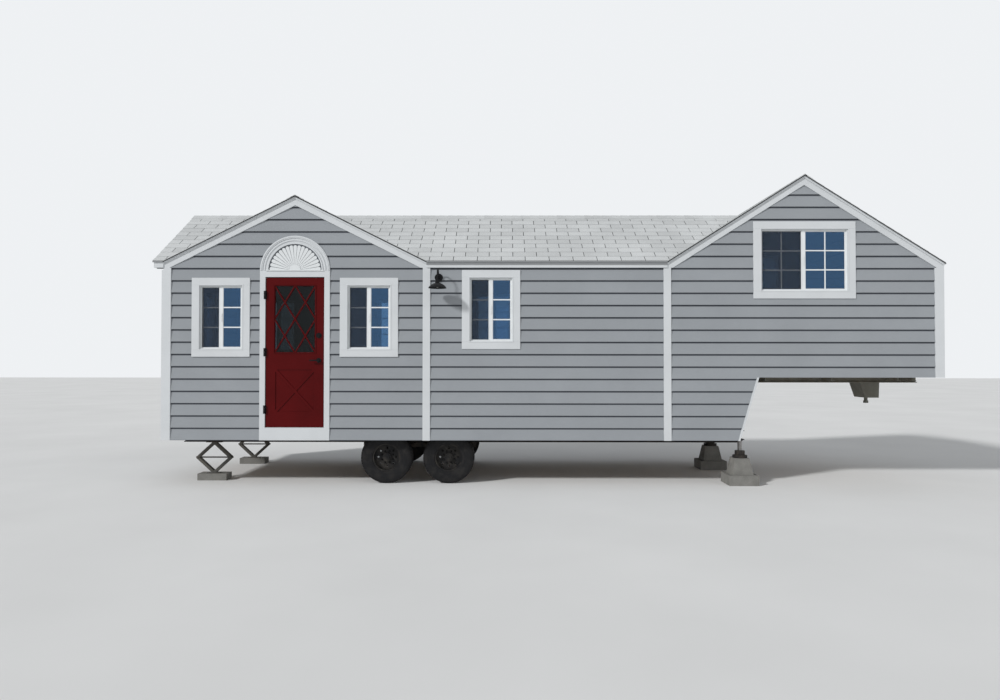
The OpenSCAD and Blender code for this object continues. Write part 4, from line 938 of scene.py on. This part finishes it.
def make_latches():
    """Latches on the meeting stile, and covers over the drain slots of the frame's sill."""
    bm = bmesh.new()
    for w, h, place in window_places():
        for z in (-LATCH_DZ, LATCH_DZ):
            block(bm, -LATCH_HALF_W, LATCH_HALF_W, SASH_SET - LATCH_PROUD, SASH_SET,
                  z - LATCH_HALF_H, z + LATCH_HALF_H, place)
        sill = -h / 2 + DRAIN_UP
        for x in (-w / 4, w / 4):
            block(bm, x - DRAIN_HALF_W, x + DRAIN_HALF_W, *DRAIN_Y, sill, sill + DRAIN_H, place)
    finish_piece("window_latches", bm, VINYL, bevel=LATCH_SOFT)


make_casings()
make_bars()
make_screens()
make_latches()


# Trim details

DRIP_SHEET, DRIP_LIP, DRIP_H, DRIP_LIP_H, DRIP_DOWN = 0.0025, 0.007, 0.034, 0.004, 0.001
LEDGE_INSET, LEDGE_Y, LEDGE_Z = 0.03, (-BOARD_T - 0.012, -0.008), (-0.004, 0.009)
PLATE_Y, PLATE_Z = (-0.012, 0.055), (0.0002, 0.0032)
RIB_COUNT, RIB_START, RIB_PITCH, RIB_W, RIB_TOP = 5, -0.006, 0.011, 0.004, 0.0046
HINGE_IN, SCREW_DZ, SCREW_DX, HINGE_PROUD = 0.235, 0.04, 0.0195, 0.003
SCREW = [(0, 0.0013), (0.0022, 0.0011), (0.0034, 0.0002), (0.0034, 0)]
BULB_Z = 2.652
BULB_OUTLINE = [(0, -0.018), (0.009, -0.016), (0.0165, -0.009), (0.019, 0.0), (0.0165, 0.010),
                (0.011, 0.020), (0.010, 0.028), (0, 0.028)]
NAIL = [(0, 0.0009), (0.0032, 0.0007), (0.0046, 0.0), (0, 0)]
NAIL_DX, NAIL_UP, NAIL_PITCH, NAIL_PLAY, NAIL_END = 0.028, 0.06, 0.405, 0.006, 0.03
NUT_TOP_UP, THREAD_R, THREAD_ROOT, THREAD_CREST = 0.096, 0.0275, 0.0281, 0.0303
THREAD_PITCH, THREAD_H, THREAD_END = 0.0065, 0.004, 0.018
CORE_UP, CORE_DOWN = 0.001, 0.013
BLOCK_SOFT, LEDGE_SOFT, PLATE_SOFT = 0.005, 0.002, 0.0006


def make_drip_edges():
    """Folded metal over the upper part of the eave boards of the middle section and the nose."""
    bm = bmesh.new()
    fascia_out = OVER_Y - DRIP
    top = main_z(fascia_out, SKIN_T) - DRIP_DOWN
    fold = top - DRIP_H
    for side in (-1, 1):
        for low, high, out in ((fold, top, DRIP_SHEET), (fold - DRIP_LIP_H, fold, DRIP_LIP)):
            y0, y1 = sorted((side * fascia_out, side * (fascia_out + out)))
            block(bm, MIDDLE_X, LOFT_X, y0, y1, low, high)
    nose_x = TOTAL + BOARD_T
    top = EAVE_Z - BOARD_T * math.tan(LOFT_PITCH) - SKIN_T / math.cos(LOFT_PITCH) - DRIP_DOWN
    block(bm, nose_x, nose_x + DRIP_SHEET, -HALF_W, HALF_W, top - DRIP_H, top)
    finish_piece("drip_edges", bm, DRIP_METAL)


def make_fan_ledge():
    """The small ledge that the fan light stands on."""
    bm = bmesh.new()
    half = SURROUND_HALF - ARCH_W + LEDGE_INSET
    y0, y1 = (-HALF_W + y for y in LEDGE_Y)
    z0, z1 = (HEAD_TOP + z for z in LEDGE_Z)
    block(bm, ENTRY_MID - half, ENTRY_MID + half, y0, y1, z0, z1)
    finish_piece("fan_ledge", bm, FAN_WHITE, bevel=LEDGE_SOFT)


def make_threshold_plate():
    """A ribbed metal plate on the door's sill."""
    bm = bmesh.new()
    x0, x1 = ENTRY_MID - OPENING_HALF, ENTRY_MID + OPENING_HALF
    y0, y1 = (-HALF_W + y for y in PLATE_Y)
    z0, z1 = (FLOOR_Z + z for z in PLATE_Z)
    block(bm, x0, x1, y0, y1, z0, z1)
    for i in range(RIB_COUNT):
        y = -HALF_W + RIB_START + i * RIB_PITCH
        block(bm, x0, x1, y, y + RIB_W, z1, FLOOR_Z + RIB_TOP)
    finish_piece("threshold_plate", bm, ALUMINIUM, bevel=PLATE_SOFT)


def make_hinge_screws():
    """Three screws in each of the frame's three hinge plates."""
    bm = bmesh.new()
    outwards = Matrix.Rotation(math.pi / 2, 4, "X")
    x = ENTRY_MID - DOOR_W / 2 - DOOR_GAP / 2 - SCREW_DX
    y = -HALF_W - BOARD_T - HINGE_PROUD
    for z in (DOOR_BOTTOM + HINGE_IN, DOOR_BOTTOM + DOOR_H / 2, DOOR_TOP - HINGE_IN):
        for dz in (-SCREW_DZ, 0.0, SCREW_DZ):
            lathe(bm, SCREW, moved(x, y, z + dz) @ outwards, steps=12)
    finish_piece("frame_hinge_screws", bm, HARDWARE)


def make_lamp_bulb():
    bm = bmesh.new()
    lathe(bm, BULB_OUTLINE, moved(MIDDLE_X + LAMP_DX, -HALF_W - LAMP_REACH, BULB_Z), steps=20)
    finish_piece("lamp_bulb", bm, BULB, smooth=True)


def make_nails():
    """Painted nail heads in pairs up the corner and junction boards."""
    bm = bmesh.new()
    boards = (
        (BOARD_W / 2, SKIRT_Z), (MIDDLE_X, SKIRT_Z), (LOFT_X, SKIRT_Z), (TOTAL - BOARD_W / 2, RAISED_Z),
    )
    for side in (-1, 1):
        outwards = Matrix.Rotation(-side * math.pi / 2, 4, "X")
        for x, low in boards:
            z = low + NAIL_UP
            while z < FASCIA_LOW - NAIL_END:
                for dx in (-NAIL_DX, NAIL_DX):
                    up = z + rng.uniform(-NAIL_PLAY, NAIL_PLAY)
                    place = moved(x + dx, side * (HALF_W + BOARD_T), up) @ outwards
                    lathe(bm, NAIL, place, steps=8)
                z += NAIL_PITCH
    finish_piece("board_nails", bm, TRIM)


def make_jack_threads():
    """Threads on the screws of the piers' jacks, from above the nut to the skirt."""
    bm = bmesh.new()
    nut_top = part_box("pier_jacks")[0].z + NUT_TOP_UP
    start, end = (THREAD_R, nut_top + CORE_UP), (THREAD_R, SKIRT_Z - CORE_DOWN)
    for y in PIER_YS:
        z, rings = nut_top + THREAD_H, []
        while z < SKIRT_Z - THREAD_END:
            rings += [(THREAD_ROOT, z), (THREAD_CREST, z + THREAD_H / 2), (THREAD_ROOT, z + THREAD_H)]
            z += THREAD_PITCH
        lathe(bm, [start, *rings, end, start], moved(TOTAL - PIER_BACK, y, 0), steps=24)
    finish_piece("jack_threads", bm, STEEL, smooth=True)


def soften_nodes():
    for name, width in (
        ("corner_boards", BOARD_SOFT), ("rake_boards", BOARD_SOFT), ("eave_fascias", BOARD_SOFT),
        ("door_leaf", LEAF_SOFT), ("window_frames", SMALL_SOFT), ("blocks", BLOCK_SOFT),
    ):
        soften(nodes[name], width)


make_drip_edges()
make_fan_ledge()
make_threshold_plate()
make_hinge_screws()
make_lamp_bulb()
make_nails()
make_jack_threads()
soften_nodes()


# Wheels, each drawn round its own axle with the outside towards +z

TYRE_SIDE = [
    (0.1905, 0.0885), (0.196, 0.0965), (0.215, 0.1005), (0.217, 0.1022), (0.223, 0.1022),
    (0.225, 0.1015), (0.25, 0.1052), (0.278, 0.1072), (0.28, 0.1058), (0.284, 0.1058),
    (0.286, 0.1068), (0.305, 0.1045), (0.322, 0.0985), (0.334, 0.090), (0.3405, 0.080),
]
TYRE_CROWN = (0.3412, 0.0)
TREAD_COUNT, TREAD_SHARE, TREAD_SKEW = 58, 0.82, 0.02
TREAD_RADII = (0.339, 0.3492)
TREAD_ROWS = ((-0.080, -0.052), (-0.045, -0.018), (-0.011, 0.011), (0.018, 0.045), (0.052, 0.080))
SHOULDER_RADII, SHOULDER_FROM, SHOULDER_TO = (0.318, 0.3385), 0.0805, 0.0975
NUT_COUNT, NUT_CIRCLE, RIM_FACE = 8, 0.082, 0.018
NUT = [(0, 0.021), (0.007, 0.020), (0.0105, 0.0155), (0.0105, 0.003), (0.0135, 0.0), (0, 0.0)]
HUB_PLUG = [(0, 0.0731), (0.012, 0.0728), (0.0135, 0.0704), (0, 0.0702)]
HUB_RING = [(0.0335, 0.056), (0.0350, 0.0555), (0.0352, 0.0525), (0.0335, 0.0522), (0.0335, 0.056)]
VALVE_PLACE = moved(0, 0.142, 0.014)
VALVE = [(0, 0.034), (0.004, 0.033), (0.0045, 0.014), (0.006, 0.010), (0.0065, 0.0), (0, 0.0)]


def wheel_places():
    for side, label in ((-1, "front"), (1, "back")):
        outwards = Matrix.Rotation(-side * math.pi / 2, 4, "X")
        for i, x in enumerate(WHEEL_XS, 1):
            yield f"{label}_{i}", moved(x, side * WHEEL_Y, WHEEL_Z) @ outwards


def tread_block(bm, place, radii, angles, heights, skew=0.0):
    """A block between two radii, two angles and two heights; skew turns its upper end."""
    (r0, r1), (a0, a1), (h0, h1) = radii, angles, heights
    corners = [(a0, h0), (a1, h0), (a1 + skew, h1), (a0 + skew, h1)]
    slab(
        bm, corners,
        lambda a, h: place @ Vector((r1 * math.cos(a), r1 * math.sin(a), h)),
        lambda a, h: place @ Vector((r0 * math.cos(a), r0 * math.sin(a), h)),
    )


def make_tyre(name, place):
    """The tyre's outline with rings on its sidewalls, five rows of tread and two of shoulder blocks."""
    bm = bmesh.new()
    outline = [*TYRE_SIDE, TYRE_CROWN, *[(r, -h) for r, h in reversed(TYRE_SIDE)], TYRE_SIDE[0]]
    lathe(bm, outline, place, steps=56)
    half_step = math.pi / TREAD_COUNT
    for k in range(TREAD_COUNT):
        a = 2 * math.pi * k / TREAD_COUNT
        for j, heights in enumerate(TREAD_ROWS):
            start, skew = (a + half_step, TREAD_SKEW) if j % 2 else (a, -TREAD_SKEW)
            angles = (start, start + TREAD_SHARE * 2 * half_step)
            tread_block(bm, place, TREAD_RADII, angles, heights, skew)
        for s in (-1, 1):
            heights = sorted((s * SHOULDER_FROM, s * SHOULDER_TO))
            tread_block(bm, place, SHOULDER_RADII, (a, a + half_step), heights)
    tyre = finish_piece(f"tyre_{name}_detail", bm, RUBBER, f"wheel_{name}")
    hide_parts(f"tyre_{name}")


def make_nuts(name, place):
    bm = bmesh.new()
    for i in range(NUT_COUNT):
        a = math.pi * (2 * i + 1) / NUT_COUNT
        at = moved(NUT_CIRCLE * math.cos(a), NUT_CIRCLE * math.sin(a), RIM_FACE)
        lathe(bm, NUT, place @ at, steps=6)
    finish_piece(f"lug_nuts_{name}", bm, HARDWARE, f"wheel_{name}")


def make_hub_and_valve(name, place):
    """The plug and the ring of the hub's cap, and the tyre's valve."""
    bm = bmesh.new()
    lathe(bm, HUB_PLUG, place, steps=24)
    lathe(bm, HUB_RING, place, steps=28)
    lathe(bm, VALVE, place @ VALVE_PLACE, steps=12)
    finish_piece(f"hub_and_valve_{name}", bm, RUBBER, f"wheel_{name}")


for wheel, wheel_place in wheel_places():
    make_tyre(wheel, wheel_place)
    make_nuts(wheel, wheel_place)
    make_hub_and_valve(wheel, wheel_place)


# The CAD solids' own finish

FACING, SIDEWAYS, DOWNWARD = 0.9, 0.5, -0.2
REAR_PART, FACE_MARGIN, RECESS_MARGIN = 1.0, 0.01, 0.001


def dress(name, finishes, choose=None):
    """Gives a CAD node its materials; choose picks one for each face, from its middle and normal."""
    mesh = nodes[name].data
    mesh.materials.clear()
    for one in finishes:
        mesh.materials.append(one)
    for face in mesh.polygons:
        face.material_index = choose(face.center - OFFSET, face.normal) if choose else 0


def plane_over(name):
    """The height of the roof plane over a point, for the roof a node belongs to."""
    if "main" in name:
        return lambda c: main_z(c.y)
    _, x_mid, half_span, pitch, _ = GABLES[0 if "entry" in name else 1]
    return lambda c: EAVE_Z + (half_span - abs(c.x - x_mid)) * math.tan(pitch)


def wall_finish(centre, normal):
    """For a wall's face: 1, the lining, where it looks into the house, and 0, siding, elsewhere."""
    if abs(normal.y) > FACING:
        return int(normal.y * centre.y < 0 and abs(centre.y) < HALF_W - WALL_T / 2)
    if centre.x < REAR_PART:
        return int(normal.x > SIDEWAYS and centre.x < WALL_T + FACE_MARGIN)
    return int(normal.x < -SIDEWAYS)


def roof_finish(name):
    """For a roof's faces: 0 above, 1 under the overhang, 2 inside, and 3 on the edge of an eave."""
    plane, main = plane_over(name), "main" in name

    def choose(centre, normal):
        if (abs(normal.y) if main else normal.x) > FACING:
            return 3
        if normal.z > DOWNWARD:
            return 0
        return 2 if plane(centre) - centre.z > ROOF_T / 2 else 1

    return choose


def dress_nodes():
    for part in frame["record"]["subparts"]:
        name = part["node"]
        if "_wall" in name:
            dress(name, [SIDING, PINE], wall_finish)
        elif "roof" in name:
            dress(name, [UNDERLAY, TRIM, PINE, DRIP_METAL], roof_finish(name))
        else:
            dress(name, [SLOT_FINISH[part["material_slot"]]])
    # The faces at the back of the fan's recesses get the darker white, as painted shade between the
    # rays.
    fan_faces = nodes["fan_light"].data.polygons
    recess = max(f.center.y for f in fan_faces if f.normal.y < -FACING) - OFFSET.y
    dress("fan_light", [FAN_WHITE, FAN_PAINTED_SHADE],
          lambda c, n: int(n.y < -FACING and c.y > recess - RECESS_MARGIN))
    dress("door_glass", [DOOR_GLASS])
    dress("pin_box", [PIN_BOX_PAINT])
    dress("rear_jacks", [JACK_STEEL])


dress_nodes()


# Stage

FLOOR_REACH, FLOOR_DOWN = 60, 0.0005
SKY_LIGHT, SKY_SEEN = ((0.93, 0.96, 1.0, 1), 0.4), ((0.86, 0.88, 0.9, 1), 1.0)
LAMPS = (
    ("key_lamp", 2.4, math.radians(6), Vector((0.8, 0.65, -0.62))),
    ("fill_lamp", 0.35, math.radians(60), Vector((-0.8, 0.6, -0.5))),
)


def make_floor():
    bm = bmesh.new()
    signs = ((-1, -1), (1, -1), (1, 1), (-1, 1))
    bm.faces.new([bm.verts.new((x * FLOOR_REACH, y * FLOOR_REACH, -FLOOR_DOWN)) for x, y in signs])
    p = Paint("pale_floor", rough=0.9, Specular_IOR_Level=0.1)
    p.colour(p.ramp(p.noise(0.4, 3), [(0.3, (0.74, 0.74, 0.73)), (0.7, (0.79, 0.79, 0.78))]))
    floor = add("floor", mesh_of("floor", bm, p.mat))


def make_world():
    """A soft sky that lights the house, and a brighter one that the camera and the panes see."""
    world = bpy.data.worlds.new("studio")
    bpy.context.scene.world = world
    world.use_nodes = True
    tree = world.node_tree
    tree.nodes.clear()

    def larger(one, other):
        made = tree.nodes.new("ShaderNodeMath")
        made.operation = "MAXIMUM"
        tree.links.new(one, made.inputs[0])
        tree.links.new(other, made.inputs[1])
        return made.outputs[0]

    rays = tree.nodes.new("ShaderNodeLightPath").outputs
    seen = larger(rays["Is Camera Ray"], larger(rays["Is Glossy Ray"], rays["Is Transmission Ray"]))
    mix = tree.nodes.new("ShaderNodeMixShader")
    tree.links.new(seen, mix.inputs["Fac"])
    for i, (colour, strength) in enumerate((SKY_LIGHT, SKY_SEEN), 1):
        background = tree.nodes.new("ShaderNodeBackground")
        background.inputs["Color"].default_value = colour
        background.inputs["Strength"].default_value = strength
        tree.links.new(background.outputs[0], mix.inputs[i])
    out = tree.nodes.new("ShaderNodeOutputWorld")
    tree.links.new(mix.outputs[0], out.inputs["Surface"])


def make_lamps():
    """Two suns that leave no glint in the panes."""
    for name, strength, angle, aim in LAMPS:
        data = bpy.data.lights.new(name, "SUN")
        data.energy = strength
        data.angle = angle
        lamp = add(name, data)
        lamp.rotation_mode = "QUATERNION"
        lamp.rotation_quaternion = aim.to_track_quat("-Z", "Y")
        lamp.visible_glossy = False
        lamp.visible_transmission = False


make_floor()
make_world()
make_lamps()
bpy.context.scene.view_settings.view_transform = "Standard"

bpy.context.view_layer.update()
